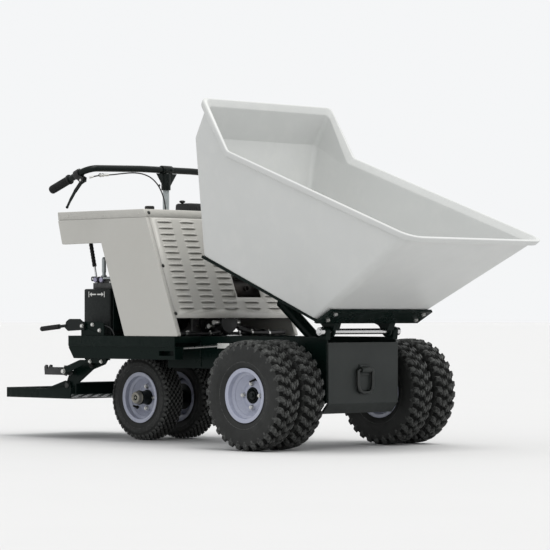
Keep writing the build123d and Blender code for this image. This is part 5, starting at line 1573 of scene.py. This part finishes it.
def make_cable_ends():
    """The cable's adjuster and its ferrules."""
    start = Vector((-0.5315, -0.424, 1.1958))
    aim = (Vector((-0.5245, -0.368, 1.1992)) - start).normalized()
    boot = [(0, 0), (0, 0.009), (0.005, 0.008), (0.008, 0.0045), (0.016, 0.0042), (0.016, 0)]
    bm = bmesh.new()
    turned(bm, start, start + aim * 0.052, 0.0060, 0.0008, 24)
    for along, width in ((0.004, 0.0165), (0.018, 0.0150)):
        hexagon_head(bm, start + aim * along, aim, width, 0.007)
    turned(bm, (-0.548, -0.4665, 1.1835), (-0.5385, -0.4500, 1.1895), 0.0045, 0.0006, 20)
    lathe(bm, (-0.5232, -0.0222, 1.0395), UP, boot, 24)
    piece("cable_ferrules", bm, "control_cable", LOOK["zinc"])


make_bar_bracket()
make_grips()
make_cable_ends()


# ---------------------------------------------------------------- operator platform and pedal
PEDAL_PIN = Vector((-0.852, -0.331, 0.312))
FLOOR_PLATE_TOP = 0.1889
FLOOR_PLATE_REAR = -1.308
FLOOR_PLATE = (0.44, 0.585)


def make_pedal():
    """A cast treadle: a channel with saw teeth along its top and an upturned hook at each end."""
    outline = [(-0.8385, 0.300), (-0.8395, 0.331), (-0.847, 0.3385), (-0.858, 0.3385), (-0.862, 0.326)]
    for tooth in range(6):
        start = -0.868 - 0.0185 * tooth
        outline += [(start, 0.3295), (start - 0.0065, 0.3295), (start - 0.0105, 0.3205)]
    outline += [(-0.977, 0.322), (-0.981, 0.339), (-0.990, 0.3405), (-0.9995, 0.331), (-0.996, 0.2945),
                (-0.862, 0.2945), (-0.847, 0.2905)]
    web = [(-0.847, 0.296), (-0.995, 0.296), (-0.995, 0.3145), (-0.847, 0.3145)]
    bm = bmesh.new()
    side_prism(bm, outline, -0.3488, -0.3400)
    side_prism(bm, outline, -0.3220, -0.3132)
    side_prism(bm, web, -0.3405, -0.3215)
    cross_bar(bm, PEDAL_PIN, 0.0198, 0.0115, 0.001, 32)
    piece("foot_pedal_toothed", bm, "foot_pedal", LOOK["cast"], ["foot_pedal"], bevel=0.001)


def make_pedal_bolts():
    """The nut on the treadle's pin and the bolts of its arm."""
    bm = bmesh.new()
    hexagon_head(bm, PEDAL_PIN - LEFT * 0.026, -LEFT, 0.018, 0.008, washer=0.012)
    bolts(bm, product((-0.668, -0.592), (-0.357,), (0.3595,)), -LEFT, 0.012, 0.006, washer=0.009)
    piece("pedal_bolts", bm, "pedal_arm", LOOK["zinc"])


def lozenge(centre, turn, length, middle, width):
    """A six-sided loop: pointed at both ends of its length, parallel sided along its middle."""
    along = Vector((math.cos(turn), math.sin(turn), 0))
    across = UP.cross(along)
    corners = ((length, 0), (middle, width), (-middle, width), (-length, 0), (-middle, -width),
               (middle, -width))
    return [centre + along * a + across * b for a, b in corners]


def make_foot_plate():
    """Raised lozenges rolled into the foot plate, and the beads along its edges."""
    pitch = 0.030
    rows, columns = (int(size / pitch) for size in FLOOR_PLATE)
    bm = bmesh.new()
    for i, j in product(range(rows), range(columns)):
        centre = Vector((FLOOR_PLATE_REAR + pitch * (i + 0.5), pitch * (j + 0.5) - FLOOR_PLATE[1] / 2,
                         FLOOR_PLATE_TOP))
        turn = math.radians(45 if (i + j) % 2 else -45)
        loft(bm, [lozenge(centre, turn, 0.012, 0.004, 0.0038),
                  lozenge(centre + UP * 0.0016, turn, 0.0085, 0.0032, 0.0018)], cap_end=True)
    piece("platform_tread", bm, "platform", LOOK["frame"])
    bm = bmesh.new()
    for y in (-0.2995, 0.2995):
        weld_bead(bm, (-1.31, y, FLOOR_PLATE_TOP), (-0.90, y, FLOOR_PLATE_TOP), 0.0022, 0.012)
    piece("platform_welds", bm, "platform", LOOK["frame"], smooth=60)


make_pedal()
make_foot_plate()
make_pedal_bolts()
